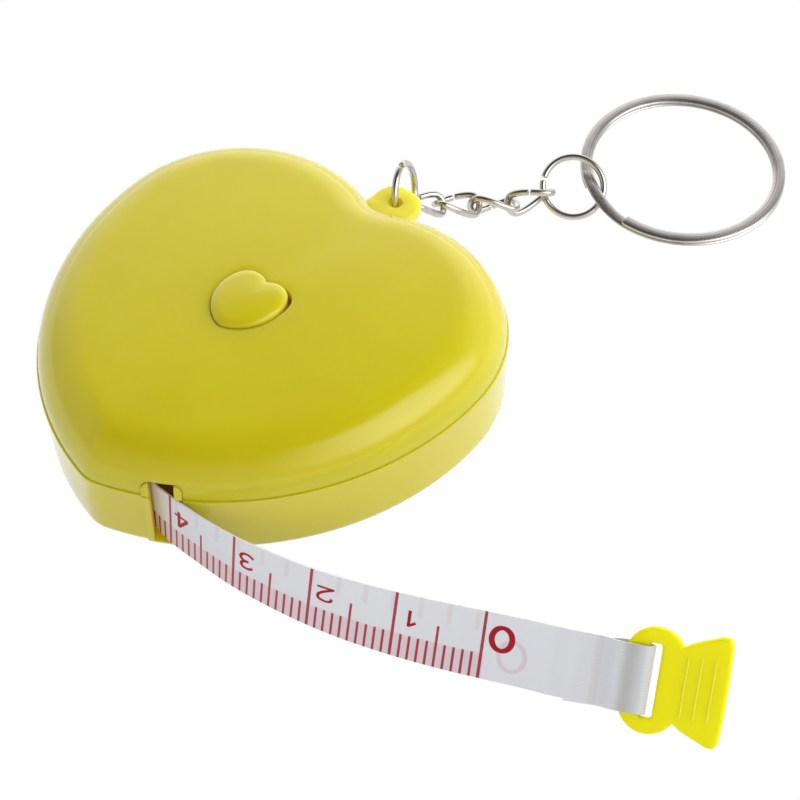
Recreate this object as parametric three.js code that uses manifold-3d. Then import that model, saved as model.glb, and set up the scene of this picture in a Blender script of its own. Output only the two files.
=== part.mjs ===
// Heart-shaped key-ring tape measure with a spring-wound reel
// Millimetres, +Z up, heart tip towards -Y, origin on the reel axis at the base

import * as THREE from 'three';
import { mergeVertices } from 'three/addons/utils/BufferGeometryUtils.js';
import Module from 'manifold-3d';

const wasm = await Module();
wasm.setup();

// Case outline, arcs of a heart
const caseHeart = {
  lobeRadius: 18,
  lobeX: 9,
  lobeY: 8.55,
  cleftRadius: 3.5,
  sideRadius: 35,
  tipRadius: 5,
  tipY: -21.6,
  leastTipRadius: 2,
};

// Case heights and walls
const partingZ = 8.9;
const floorThickness = 1;
const wallThickness = 1.6;
const wallDraft = 0.5;
const footRadius = 1.2;
const rimHeight = 0.5;
const rimProud = 0.2;
const floorFillet = 0.8;
const lipHeight = 1.2;
const lipThickness = 0.7;
const lipGap = 0.2;
const shellGap = 0.1;
const domeStep = 0.2;
const domeReach = 6;
const domeRise = 5.6;
const crownRise = 0.5;
const roofThickness = 1.4;
const domeWall = 1.5;

// Tape mouth in the side wall
const mouthAngle = -61.5;
const mouthWidth = 4;
const mouthSlant = 0.8;
const jambWidth = 0.9;
const mouthProud = 0.25;
const mouthRise = 1.9;
const mouthCorner = 1.2;
const mouthGap = 0.25;

// Lug for the key chain
const lugHalfWidth = 3.1;
const lugReach = 5.1;
const lugThickness = 1.5;
const lugHoleRadius = 0.95;
const lugHoleInset = 2.7;

// Tape and reel
const tapeWidth = 7.5;
const tapeThickness = 0.22;
const coilRadius = 14.4;
const runGap = 0.3;
const fitGap = 0.3;
const postRadius = 2;
const pinRadius = 1;
const pinHeight = 2;
const postSlit = 0.8;
const drumRadius = 10;
const drumWall = 1.2;
const webThickness = 0.8;
const flangeRadius = 15.6;
const flangeThickness = 0.7;
const drumRise = 2;

// Mainspring and its cover
const mainspringWidth = 4.6;
const mainspringThickness = 0.2;
const mainspringTurns = 8;
const coverThickness = 0.6;

// Friction brake
const brakeRingWidth = 2;
const brakeThickness = 0.7;
const brakeOverlap = 1.3;

// Release button
const buttonHeart = {
  lobeRadius: 2.35,
  lobeX: 1.6,
  lobeY: 2.55,
  cleftRadius: 0.3,
  sideRadius: 5.5,
  tipRadius: 1.55,
  tipY: -2.35,
  leastTipRadius: 0.5,
};
const buttonProud = 0.9;
const buttonRound = 0.8;
const buttonCrown = 0.05;
const buttonGap = 0.25;
const buttonLobeGap = 0.5;
const buttonFlange = 1;
const buttonFlangeThickness = 0.8;
const stemRadius = 2.8;
const stemShoulder = 0.8;
const stemBore = 2.1;
const stemRoof = 0.2;
const buttonSpringRadius = 1.55;
const buttonSpringWire = 0.35;
const buttonSpringCurls = 4.5;
const buttonSpringSeat = 0.15;

// Free tape, read off its own centimetre marks: x, y, z and lean from upright in degrees
const tapeRoute = [
  [5.87, -22.38, 5.05, 2],
  [8.77, -22.85, 5.07, 5],
  [13.7, -23.25, 5.35, 6],
  [18.7, -23.4, 5.7, 9],
  [23.7, -22.95, 5.9, 13],
  [28.6, -22.15, 6, 17],
  [33.45, -20.95, 6.08, 22],
  [38.2, -19.4, 6.1, 27],
  [42.85, -17.65, 6.1, 32],
  [47.45, -15.7, 6.05, 36],
  [51.7, -13.77, 5.88, 38],
];
const runRoute = [
  [-1.77, -18.4],
  [0.54, -20.15],
  [3.1, -21.5],
];
const runLeaveAngle = 228;
const runStartAngle = 196;
const tapeBreak = 0.3;

// Tape end and pull tab
const tabPoint = [64.33, -7.86, 5.42];
const tabHeadingAngle = 25.4;
const tabDipAngle = -1.3;
const tabLeanAngle = 40.3;
const foldLength = 9;
const foldGap = 0.45;
const tabThickness = 1.2;
const tabEyeRadius = 3.3;
const tabEyeOffset = 2.55;
const tabEyeX = 0.1;
const tabReach = 8.05;
const tabHalfWidth = 6.1;
const tabNeckAngle = 30;
const tabNeckX = 3.9;
const tabNeckHalfWidth = 4.85;
const tabCorner = 1.3;
const tabSlotWidth = 1.4;
const tabSlotEnd = 0.65;
const tabSlotHalfLength = 4.05;
const tabEdge = 0.25;
const tabRibs = [3.55, 5, 6.5];
const tabRibWidth = 0.4;
const tabRibHeight = 0.2;
const tabRibHalfLength = 3.3;

// Key chain: directions are azimuth, slope and roll in degrees
const wireRadius = 0.42;
const hookGap = 0.28;
const lugRingRadius = 3.57;
const lugRingNormalAngles = [24.4, 10.5];
const lugRingHoleAngle = 164.5;
const lugRingHookAngle = -75;
const lugRingMouthAngles = [70, 86];
const linkHalfLength = 2.9;
const linkHalfWidth = 1.5;
const linkSquareness = 2.5;
const linkTwistAngle = 42;
const linkSeamAngle = 4;
const linkAimAngles = [
  [74.9, -26.8, 2.3],
  [55.5, -18.4, -4.9],
  [47.4, -8.4, -50.7],
  [55.9, 6.3, 100.5],
];
const jumpRingRadius = 3.75;
const jumpRingAimAngles = [52.7, 6, 34.4];
const jumpRingMouthAngles = [145, 155];
const splitRingRadius = 12.7;
const splitRingBand = 1.5;
const splitRingWire = 0.5;
const splitRingGap = 0.45;
const splitRingAzimuthAngle = 54.8;
const splitRingLeanAngle = 11.7;
const splitRingTiltAngle = 4.8;
const splitRingSlack = 0.44;
const splitRingStepAngle = 34;
const splitRingEndAngle = 1;
const splitRingStartAngle = -101;

// Colours and finishes
const shellYellow = { color: 0xcdbf2c, roughness: 0.38, metalness: 0 };
const tabYellow = { color: 0xe5dd11, roughness: 0.35, metalness: 0 };
const whitePlastic = { color: 0xdcdcd8, roughness: 0.5, metalness: 0 };
const springSteel = { color: 0x8f9297, roughness: 0.35, metalness: 1 };
const chromeSteel = { color: 0xc4c2bf, roughness: 0.15, metalness: 1 };
const tapeWhite = { color: 0xdadbdf, roughness: 0.55, metalness: 0 };

// Levels worked out from the sizes above
const domeBaseZ = partingZ + shellGap;
const domeEdgeZ = partingZ + domeRise;
const crownZ = domeEdgeZ + crownRise;
const mouthTopZ = partingZ + mouthRise;
const coilZ = floorThickness + runGap;
const flangeZ = coilZ + tapeWidth + fitGap;
const drumTopZ = flangeZ + flangeThickness + drumRise;
const drumBore = drumRadius - drumWall;
const mainspringZ = coilZ + webThickness + fitGap;
const coverZ = mainspringZ + mainspringWidth + fitGap;
const postTopZ = coverZ + coverThickness;
const brakeRingZ = drumTopZ - brakeThickness;
const brakeDiscZ = brakeRingZ - fitGap - brakeThickness;
const buttonFlangeTop = crownZ - roofThickness - fitGap;
const buttonFlangeZ = buttonFlangeTop - buttonFlangeThickness;

const degrees = THREE.MathUtils.degToRad;
const polar = (angle, radius) => new THREE.Vector2(radius * Math.cos(angle), radius * Math.sin(angle));

// Solids and booleans
function solidOf(geometry) {
  const bare = geometry.clone();
  bare.deleteAttribute('normal');
  bare.deleteAttribute('uv');
  const merged = mergeVertices(bare, 1e-4);
  const vertProperties = new Float32Array(merged.attributes.position.array);
  const triVerts = new Uint32Array(merged.index.array);
  return new wasm.Manifold(new wasm.Mesh({ numProp: 3, vertProperties, triVerts }));
}

function geometryOf(solid) {
  const mesh = solid.getMesh();
  const geometry = new THREE.BufferGeometry();
  geometry.setAttribute('position', new THREE.BufferAttribute(new Float32Array(mesh.vertProperties), 3));
  geometry.setIndex(new THREE.BufferAttribute(new Uint32Array(mesh.triVerts), 1));
  geometry.computeVertexNormals();
  return geometry;
}

function piece(name, geometry, finish) {
  const mesh = new THREE.Mesh(geometry, new THREE.MeshStandardMaterial(finish));
  mesh.name = name;
  return mesh;
}

// Skin over rings of points: an end ring of one point is a pole, any other end is capped
function loft(rings) {
  const points = rings.flat();
  const starts = rings.map((_, k) => rings.slice(0, k).reduce((sum, ring) => sum + ring.length, 0));
  const faces = [];
  rings.slice(1).forEach((ring, k) => {
    const below = rings[k];
    const count = Math.max(below.length, ring.length);
    for (let j = 0; j < count; j += 1) {
      const next = (j + 1) % count;
      const low = [j, next].map((i) => starts[k] + (i % below.length));
      const high = [j, next].map((i) => starts[k + 1] + (i % ring.length));
      if (below.length > 1) faces.push(low[0], low[1], high[1]);
      if (ring.length > 1) faces.push(low[0], high[1], high[0]);
    }
  });
  const last = rings.length - 1;
  for (let j = 1; j < rings[0].length - 1; j += 1) faces.push(0, j + 1, j);
  for (let j = 1; j < rings[last].length - 1; j += 1) {
    faces.push(starts[last], starts[last] + j, starts[last] + j + 1);
  }
  const geometry = new THREE.BufferGeometry();
  geometry.setAttribute('position', new THREE.Float32BufferAttribute(points.flatMap((p) => p.toArray()), 3));
  geometry.setIndex(faces);
  return geometry;
}

// Turned solid about Z from a closed profile of radius and height
function turned(profile, segments = 40) {
  const closed = [...profile, profile[0]].map(([radius, z]) => new THREE.Vector2(radius, z));
  return new THREE.LatheGeometry(closed, segments).rotateX(Math.PI / 2);
}

function ringProfile(inner, outer, low, high) {
  return [[inner, low], [outer, low], [outer, high], [inner, high]];
}

function prism(shape, low, high, curveSegments = 6) {
  const options = { depth: high - low, bevelEnabled: false, curveSegments };
  return new THREE.ExtrudeGeometry(shape, options).translate(0, 0, low);
}

// Section swept along a curve, with flat ends
function swept(curve, section, steps, curveSegments = 3) {
  const options = { steps, extrudePath: curve, bevelEnabled: false, curveSegments };
  return new THREE.ExtrudeGeometry(section, options);
}

function roundSection(radius) {
  return new THREE.Shape().absarc(0, 0, radius, 0, 2 * Math.PI);
}

function boxSection(width, height) {
  const shape = new THREE.Shape();
  shape.moveTo(-width / 2, -height / 2);
  shape.lineTo(width / 2, -height / 2);
  shape.lineTo(width / 2, height / 2);
  shape.lineTo(-width / 2, height / 2);
  shape.closePath();
  return shape;
}

class PathCurve extends THREE.Curve {
  constructor(place) {
    super();
    this.place = place;
  }

  getPoint(t, target = new THREE.Vector3()) {
    return target.copy(this.place(t));
  }

  getPointAt(t, target) {
    return this.getPoint(t, target);
  }

  getTangentAt(t, target) {
    return this.getTangent(t, target);
  }
}

function polyline(points) {
  return new PathCurve((t) => {
    const index = Math.min(Math.floor(t * (points.length - 1)), points.length - 2);
    return points[index].clone().lerp(points[index + 1], t * (points.length - 1) - index);
  });
}

// Least gap of a wound strip or wire to its own next turns
function leastGap(name, place, turns, thickness) {
  const samples = 120 * turns;
  const points = Array.from({ length: samples + 1 }, (_, i) => place(i / samples));
  let least = Infinity;
  points.forEach((p, i) => {
    for (let j = i + 75; j <= samples; j += 1) least = Math.min(least, p.distanceTo(points[j]));
  });
  console.log(`${name}: least gap to itself ${(least - thickness).toFixed(2)} mm`);
}

// Heart outline as arcs, moved inwards by an inset
function sideCentre(heart) {
  const lobe = new THREE.Vector2(heart.lobeX, heart.lobeY);
  const tip = new THREE.Vector2(0, heart.tipY);
  const span = lobe.distanceTo(tip);
  const toLobe = heart.sideRadius - heart.lobeRadius;
  const toTip = heart.sideRadius - heart.tipRadius;
  const along = (toLobe ** 2 - toTip ** 2 + span ** 2) / (2 * span);
  const across = Math.sqrt(toLobe ** 2 - along ** 2);
  const aim = tip.clone().sub(lobe).divideScalar(span);
  const aside = new THREE.Vector2(aim.y, -aim.x);
  return lobe.clone().addScaledVector(aim, along).addScaledVector(aside, across);
}

function cleftCentreY(heart) {
  return heart.lobeY + Math.sqrt((heart.lobeRadius + heart.cleftRadius) ** 2 - heart.lobeX ** 2);
}

function arcPoints(centre, radius, from, to, steps) {
  return Array.from({ length: steps }, (_, i) => {
    return polar(from + ((to - from) * i) / steps, radius).add(centre);
  });
}

function heartOutline(heart, inset, steps = [4, 12, 9, 5]) {
  const side = sideCentre(heart);
  const lobe = new THREE.Vector2(heart.lobeX, heart.lobeY);
  const cleft = new THREE.Vector2(0, cleftCentreY(heart));
  const tipRadius = Math.max(heart.tipRadius - inset, heart.leastTipRadius);
  const tipReach = heart.sideRadius - inset - tipRadius;
  const tip = new THREE.Vector2(0, side.y - Math.sqrt(tipReach ** 2 - side.x ** 2));
  const aim = (from, to) => Math.atan2(to.y - from.y, to.x - from.x);
  const cleftEnd = aim(cleft, lobe);
  const lobeEnd = aim(side, lobe);
  const sideEnd = aim(side, tip);
  const right = [
    ...arcPoints(cleft, heart.cleftRadius + inset, -Math.PI / 2, cleftEnd, steps[0]),
    ...arcPoints(lobe, heart.lobeRadius - inset, cleftEnd + Math.PI, lobeEnd, steps[1]),
    ...arcPoints(side, heart.sideRadius - inset, lobeEnd, sideEnd, steps[2]),
    ...arcPoints(tip, tipRadius, sideEnd, -Math.PI / 2, steps[3]),
    new THREE.Vector2(0, tip.y - tipRadius),
  ];
  const left = right.slice(1, -1).map((p) => new THREE.Vector2(-p.x, p.y));
  return [...left, ...right.reverse()];
}

function heartRing(heart, inset, z, scale = 1, steps = undefined) {
  return heartOutline(heart, inset, steps).map((p) => new THREE.Vector3(p.x * scale, p.y * scale, z));
}

const pole = (z) => [new THREE.Vector3(0, 0, z)];

// Outer skin of the case below and above the parting line, grown by an amount
function wallRings(grow = 0) {
  const foot = [0, 30, 60, 90].map((angle) => {
    const inset = wallDraft + footRadius * (1 - Math.sin(degrees(angle)));
    return [inset, footRadius * (1 - Math.cos(degrees(angle)))];
  });
  const wall = [
    [rimProud, partingZ - rimHeight],
    [0, partingZ - rimHeight + rimProud],
    [0, partingZ],
  ];
  return [...foot, ...wall].map(([inset, z]) => heartRing(caseHeart, inset - grow, z));
}

function domeRings(grow = 0) {
  return [0, 15, 30, 45, 60, 75, 90].map((angle) => {
    const inset = domeStep + domeReach * (1 - Math.cos(degrees(angle)));
    const z = domeBaseZ + (domeEdgeZ - domeBaseZ) * Math.sin(degrees(angle));
    return heartRing(caseHeart, inset - grow, z);
  });
}

function crownRings(drop = 0) {
  return [0.68, 0.36].map((scale) => {
    const z = domeEdgeZ + crownRise * (1 - scale ** 2) - drop;
    return heartRing(caseHeart, domeStep + domeReach, z, scale);
  });
}

// Tape mouth: a frame of two jambs on the wall, with the slot slanted along the tape
const mouthOut = polar(degrees(mouthAngle), 1);
const mouthAlong = new THREE.Vector2(-mouthOut.y, mouthOut.x);
const mouthPlace = sideCentre(caseHeart).addScaledVector(mouthOut, caseHeart.sideRadius);

function mouthFrame(gap) {
  const half = mouthWidth / 2 + jambWidth + gap;
  const top = mouthTopZ + gap;
  const shape = new THREE.Shape();
  shape.moveTo(-half, floorThickness / 2);
  shape.lineTo(half, floorThickness / 2);
  shape.lineTo(half, top - mouthCorner);
  shape.absarc(half - mouthCorner, top - mouthCorner, mouthCorner, 0, Math.PI / 2, false);
  shape.absarc(-half + mouthCorner, top - mouthCorner, mouthCorner, Math.PI / 2, Math.PI, false);
  shape.closePath();
  const along = new THREE.Vector3(mouthAlong.x, mouthAlong.y, 0);
  const out = new THREE.Vector3(mouthOut.x, mouthOut.y, 0);
  const place = new THREE.Matrix4().makeBasis(along, new THREE.Vector3(0, 0, 1), out);
  place.setPosition(mouthPlace.x, mouthPlace.y, 0);
  return prism(shape, -wallThickness - wallDraft - gap, domeReach, 3).applyMatrix4(place);
}

function mouthSlot() {
  const corner = (along, out) => {
    return mouthPlace.clone().addScaledVector(mouthAlong, along).addScaledVector(mouthOut, out);
  };
  const inside = -wallThickness - wallDraft - fitGap - wallThickness;
  const shape = new THREE.Shape([
    corner(-mouthWidth / 2 - mouthSlant, inside),
    corner(mouthWidth / 2, inside),
    corner(mouthWidth / 2 + fitGap, wallThickness),
    corner(-mouthWidth / 2 + fitGap, wallThickness),
  ]);
  return prism(shape, floorThickness, crownZ);
}

// Lower shell: wall, floor, locating lip, mouth frame and the post that the reel turns on
function lowerShell() {
  const lipInset = wallThickness - lipThickness;
  const inner = wallThickness + wallDraft;
  const shell = solidOf(loft([
    pole(0),
    ...wallRings(),
    heartRing(caseHeart, lipInset, partingZ),
    heartRing(caseHeart, lipInset, partingZ + lipHeight),
    heartRing(caseHeart, wallThickness, partingZ + lipHeight),
    heartRing(caseHeart, wallThickness, partingZ),
    heartRing(caseHeart, inner, floorThickness + floorFillet),
    heartRing(caseHeart, inner + floorFillet, floorThickness),
    pole(floorThickness),
  ]));
  const envelope = solidOf(loft([
    pole(0),
    ...wallRings(mouthProud),
    ...domeRings(mouthProud),
    ...crownRings(),
    pole(crownZ),
  ]));
  const frame = solidOf(mouthFrame(0)).intersect(envelope);
  return geometryOf(shell.add(frame).subtract(solidOf(mouthSlot())).add(post()));
}

function post() {
  const pinTop = postTopZ + pinHeight;
  const root = floorThickness / 2;
  const profile = [
    [0, root],
    [postRadius, root],
    [postRadius, postTopZ],
    [pinRadius, postTopZ],
    [pinRadius, pinTop],
    [0, pinTop],
  ];
  const slit = prism(boxSection(4 * postRadius, postSlit), mainspringZ - fitGap, coverZ, 1);
  return solidOf(turned(profile, 24)).subtract(solidOf(slit));
}

const buttonSteps = [2, 7, 5, 3];

// Upper shell: crowned dome with the button hole, mouth notch and chain lug
function upperShell() {
  const rebateZ = partingZ + lipHeight + lipGap;
  const rise = domeEdgeZ - domeBaseZ - roofThickness;
  const start = Math.asin((rebateZ - domeBaseZ) / rise);
  const rebate = wallThickness - lipThickness - lipGap;
  const inside = [1, 0.8, 0.6, 0.4, 0.2, 0].map((share) => {
    const angle = start + (Math.PI / 2 - start) * share;
    const inset = domeStep + domeReach - (domeReach - domeWall) * Math.cos(angle);
    return heartRing(caseHeart, inset, domeBaseZ + rise * Math.sin(angle));
  });
  const shell = solidOf(loft([
    pole(crownZ - roofThickness),
    ...crownRings(roofThickness).reverse(),
    ...inside,
    heartRing(caseHeart, rebate, rebateZ),
    heartRing(caseHeart, rebate, domeBaseZ),
    ...domeRings(),
    ...crownRings(),
    pole(crownZ),
  ]));
  const holeHeart = { ...buttonHeart, lobeRadius: buttonHeart.lobeRadius + buttonLobeGap - buttonGap };
  const hole = new THREE.Shape(heartOutline(holeHeart, -buttonGap, buttonSteps));
  const cut = solidOf(prism(hole, domeEdgeZ - 2 * roofThickness, crownZ + roofThickness));
  const bay = solidOf(prism(new THREE.Shape(heartOutline(caseHeart, rebate)), 0, crownZ));
  const lugSolid = solidOf(lug()).subtract(bay);
  return geometryOf(shell.add(lugSolid).subtract(cut).subtract(solidOf(mouthFrame(mouthGap))));
}

const cleftY = cleftCentreY(caseHeart) - caseHeart.cleftRadius;
const lugEndY = cleftY + lugReach;
const lugHoleY = lugEndY - lugHoleInset;
const lugMiddleZ = domeBaseZ + lugThickness / 2;

function lug() {
  const rootY = cleftY - wallThickness;
  const shape = new THREE.Shape();
  shape.moveTo(-lugHalfWidth, rootY);
  shape.lineTo(lugHalfWidth, rootY);
  shape.absarc(0, lugEndY - lugHalfWidth, lugHalfWidth, 0, Math.PI, false);
  shape.closePath();
  shape.holes.push(new THREE.Path().absarc(0, lugHoleY, lugHoleRadius, 0, 2 * Math.PI, true));
  return prism(shape, domeBaseZ, domeBaseZ + lugThickness, 8);
}

// Release button: crowned heart, retaining flange, and a hollow stem over its spring
function releaseButton() {
  const steps = buttonSteps;
  const sideZ = crownZ + buttonProud - buttonRound;
  const rise = buttonRound - buttonCrown;
  const round = [0, 30, 60].map((angle) => {
    const inset = buttonRound * (1 - Math.cos(degrees(angle)));
    return heartRing(buttonHeart, inset, sideZ + rise * Math.sin(degrees(angle)), 1, steps);
  });
  const cap = loft([
    heartRing(buttonHeart, 0, buttonFlangeZ, 1, steps),
    ...round,
    heartRing(buttonHeart, buttonRound, crownZ + buttonProud - buttonCrown, 1, steps),
    [new THREE.Vector3(0, buttonHeart.lobeY / 2, crownZ + buttonProud)],
  ]);
  const flange = new THREE.Shape(heartOutline(buttonHeart, -buttonFlange, steps));
  const shoulder = stemRadius + stemShoulder;
  const discTop = brakeDiscZ + brakeThickness + fitGap;
  const stem = [
    [0, brakeDiscZ],
    [stemRadius, brakeDiscZ],
    [stemRadius, discTop],
    [shoulder, discTop],
    [shoulder, buttonFlangeTop],
    [0, buttonFlangeTop],
  ];
  const boreTop = buttonFlangeZ - stemRoof;
  const boreLow = brakeDiscZ - brakeThickness;
  const bore = [[0, boreLow], [stemBore, boreLow], [stemBore, boreTop], [0, boreTop]];
  return geometryOf(solidOf(cap)
    .add(solidOf(prism(flange, buttonFlangeZ, buttonFlangeTop)))
    .add(solidOf(turned(stem, 24)))
    .subtract(solidOf(turned(bore, 24))));
}

// Compression spring on the post's pin, under the button
function buttonSpring() {
  const low = postTopZ + buttonSpringSeat + buttonSpringWire / 2;
  const high = buttonFlangeZ - stemRoof - buttonSpringSeat - buttonSpringWire / 2;
  const place = (t) => {
    const p = polar(2 * Math.PI * buttonSpringCurls * t, buttonSpringRadius);
    return new THREE.Vector3(p.x, p.y, low + (high - low) * t);
  };
  leastGap('button spring', place, buttonSpringCurls, buttonSpringWire);
  const section = new THREE.Shape(arcPoints(new THREE.Vector2(), buttonSpringWire / 2, 0, 2 * Math.PI, 5));
  return swept(new PathCurve(place), section, 8 * buttonSpringCurls);
}

// Reel: web and bearing, drum, one flange over the tape, and a bore for the brake
function reel() {
  const bearing = postRadius + fitGap;
  const flangeTop = flangeZ + flangeThickness;
  return turned([
    [bearing, coilZ],
    [drumRadius, coilZ],
    [drumRadius, flangeZ],
    [flangeRadius, flangeZ],
    [flangeRadius, flangeTop],
    [drumRadius, flangeTop],
    [drumRadius, drumTopZ],
    [drumBore, drumTopZ],
    [drumBore, coilZ + webThickness],
    [bearing, coilZ + webThickness],
  ], 48);
}

// Mainspring: its inner end runs through the post's slit, then it winds out to the drum
function mainspring() {
  const bend = postRadius / 4;
  const exit = postRadius + lipGap;
  const level = mainspringZ + mainspringWidth / 2;
  const start = new THREE.Vector2(exit + bend, bend);
  const inner = start.length();
  const outer = drumBore - fitGap - mainspringThickness / 2;
  const wind = (t) => {
    const p = polar(start.angle() + 2 * Math.PI * mainspringTurns * t, inner + (outer - inner) * t);
    return new THREE.Vector3(p.x, p.y, level);
  };
  leastGap('mainspring', wind, mainspringTurns, mainspringThickness);
  const corner = [-90, -60, -30].map((angle) => {
    const p = polar(degrees(angle), bend).add(new THREE.Vector2(exit, bend));
    return new THREE.Vector3(p.x, p.y, level);
  });
  const steps = 24 * mainspringTurns;
  const turns = Array.from({ length: steps + 1 }, (_, i) => wind(i / steps));
  const points = [new THREE.Vector3(-postRadius / 2, 0, level), ...corner, ...turns];
  return swept(polyline(points), boxSection(mainspringWidth, mainspringThickness), points.length - 1, 1);
}

function springCover() {
  return turned(ringProfile(postRadius + fitGap, drumBore - fitGap, coverZ, coverZ + coverThickness), 40);
}

// Friction brake: a ring in the drum's mouth and a disc under it on the button's stem
function brakeRing() {
  const outer = drumBore - lipGap;
  return turned(ringProfile(outer - brakeRingWidth, outer, brakeRingZ, drumTopZ), 40);
}

function brakeDisc() {
  const rim = drumBore - lipGap - brakeRingWidth + brakeOverlap;
  return turned(ringProfile(stemRadius + lipGap, rim, brakeDiscZ, brakeDiscZ + brakeThickness), 40);
}

function tapeCoil() {
  return turned(ringProfile(drumRadius + runGap, coilRadius, coilZ, coilZ + tapeWidth), 48);
}

// Flat strip along points, upright or leaning
function strip(points, leans) {
  const curve = new THREE.CatmullRomCurve3(points, false, 'centripetal');
  const rings = points.map((point, i) => {
    const ahead = points[Math.min(i + 1, points.length - 1)];
    const behind = points[Math.max(i - 1, 0)];
    const along = ahead.clone().sub(behind).normalize();
    const left = new THREE.Vector3(-along.y, along.x, 0).normalize();
    const lean = degrees(leans[i]);
    const across = new THREE.Vector3(0, 0, Math.cos(lean)).addScaledVector(left, Math.sin(lean));
    const face = new THREE.Vector3().crossVectors(along, across).normalize();
    const corner = (w, n) => point.clone().addScaledVector(across, w).addScaledVector(face, n);
    const [w, n] = [tapeWidth / 2, tapeThickness / 2];
    return [corner(-w, -n), corner(w, -n), corner(w, n), corner(-w, n)];
  });
  return { geometry: loft(rings), length: curve.getLength() };
}

// Tape from the coil to the mouth, inside the case
function tapeRun() {
  const radius = coilRadius + runGap + tapeThickness / 2;
  const middle = coilZ + tapeWidth / 2;
  const turn = [0, 0.25, 0.5, 0.75, 1].map((share) => {
    return polar(degrees(runStartAngle + (runLeaveAngle - runStartAngle) * share), radius);
  });
  const [endX, endY] = tapeRoute[0];
  const [lastX, lastY] = runRoute[runRoute.length - 1];
  const gap = tapeBreak / Math.hypot(endX - lastX, endY - lastY);
  const points = [
    ...turn.map((p) => new THREE.Vector3(p.x, p.y, middle)),
    ...runRoute.map(([x, y]) => new THREE.Vector3(x, y, middle)),
    new THREE.Vector3(endX + (lastX - endX) * gap, endY + (lastY - endY) * gap, middle),
  ];
  return strip(points, points.map(() => 0)).geometry;
}

// Frame of the tape's end: along the tape, across it and out of its printed face
const tabAlong = new THREE.Vector3(
  Math.cos(degrees(tabDipAngle)) * Math.cos(degrees(tabHeadingAngle)),
  Math.cos(degrees(tabDipAngle)) * Math.sin(degrees(tabHeadingAngle)),
  Math.sin(degrees(tabDipAngle)),
);
const tabLeft = new THREE.Vector3(-tabAlong.y, tabAlong.x, 0).normalize();
const tabRise = new THREE.Vector3().crossVectors(tabAlong, tabLeft);
const tabAcross = tabRise.clone().multiplyScalar(Math.cos(degrees(tabLeanAngle)))
  .addScaledVector(tabLeft, Math.sin(degrees(tabLeanAngle)));
const tabFace = new THREE.Vector3().crossVectors(tabAlong, tabAcross);

function tapeFree() {
  const end = new THREE.Vector3(...tabPoint).addScaledVector(tabAlong, -foldLength - tapeBreak);
  const points = [...tapeRoute.map(([x, y, z]) => new THREE.Vector3(x, y, z)), end];
  const { geometry, length } = strip(points, [...tapeRoute.map((station) => station[3]), tabLeanAngle]);
  console.log(`tape outside the run: ${(length + foldLength + tapeBreak).toFixed(1)} mm to the fold's end`);
  return geometry;
}

// Doubled tape end, welded flat behind and looped round the tab's bar
function tapeFold() {
  const bar = tabThickness / 2 + foldGap;
  const left = tabEyeX - tabEyeRadius - fitGap;
  const right = tabSlotEnd - tabSlotWidth + fitGap;
  const outside = [
    [-foldLength, tapeThickness], [left - 2 * bar, tapeThickness], [left, bar + tapeThickness],
    [right - bar / 3, bar + tapeThickness], [right + tapeThickness, bar / 2],
  ];
  const inside = [[left - bar, 0], [left, bar], [right - bar / 3, bar], [right, bar / 2]];
  const mirrored = (list) => list.filter((p) => p[1] > 0).reverse().map(([x, y]) => [x, -y]);
  const points = (list) => [...list, ...mirrored(list)].map(([x, y]) => new THREE.Vector2(x, y));
  const shape = new THREE.Shape(points(outside).reverse());
  shape.holes.push(new THREE.Path(points(inside)));
  return prism(shape, -tapeWidth / 2, tapeWidth / 2, 2).rotateX(Math.PI / 2);
}

// Pull tab: a round eye with a slot for the tape, a neck and a ribbed, flared grip
function pullTab() {
  const neck = degrees(tabNeckAngle);
  const shape = new THREE.Shape();
  shape.moveTo(tabEyeX - tabEyeRadius, -tabEyeOffset);
  shape.absarc(tabEyeX, tabEyeOffset, tabEyeRadius, Math.PI, neck, true);
  shape.lineTo(tabNeckX, tabNeckHalfWidth);
  shape.lineTo(tabReach - tabCorner, tabHalfWidth);
  shape.quadraticCurveTo(tabReach, tabHalfWidth, tabReach, tabHalfWidth - tabCorner);
  shape.lineTo(tabReach, tabCorner - tabHalfWidth);
  shape.quadraticCurveTo(tabReach, -tabHalfWidth, tabReach - tabCorner, -tabHalfWidth);
  shape.lineTo(tabNeckX, -tabNeckHalfWidth);
  shape.absarc(tabEyeX, -tabEyeOffset, tabEyeRadius, -neck, -Math.PI, true);
  const slot = boxSection(tabSlotWidth, 2 * tabSlotHalfLength).getPoints();
  const middle = tabSlotEnd - tabSlotWidth / 2;
  shape.holes.push(new THREE.Path(slot.map((p) => new THREE.Vector2(p.x + middle, p.y))));
  const options = {
    depth: tabThickness - 2 * tabEdge,
    bevelThickness: tabEdge,
    bevelSize: tabEdge,
    bevelOffset: -tabEdge,
    bevelSegments: 1,
    curveSegments: 7,
  };
  const plate = new THREE.ExtrudeGeometry(shape, options).translate(0, 0, tabEdge - tabThickness / 2);
  const height = tabThickness / 2 + tabRibHeight;
  return geometryOf(tabRibs.reduce((solid, x) => {
    const rib = prism(boxSection(tabRibWidth, 2 * tabRibHalfLength), -height, height, 1).translate(x, 0, 0);
    return solid.add(solidOf(rib));
  }, solidOf(plate)));
}

// Frame of a chain piece from azimuth, slope and roll
function aimFrame([azimuth, slope, roll]) {
  const turn = new THREE.Euler(degrees(roll), -degrees(slope), degrees(azimuth), 'ZYX');
  const axes = [new THREE.Vector3(), new THREE.Vector3(), new THREE.Vector3()];
  new THREE.Matrix4().makeRotationFromEuler(turn).extractBasis(...axes);
  return { turn, axes };
}

// Where the next piece's near wire lies when it hooks over the last one's far wire
function hooked(farEnd, lastAim, aim) {
  const pull = lastAim.clone().add(aim).normalize();
  return farEnd.clone().addScaledVector(pull, -2 * wireRadius - hookGap);
}

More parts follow.
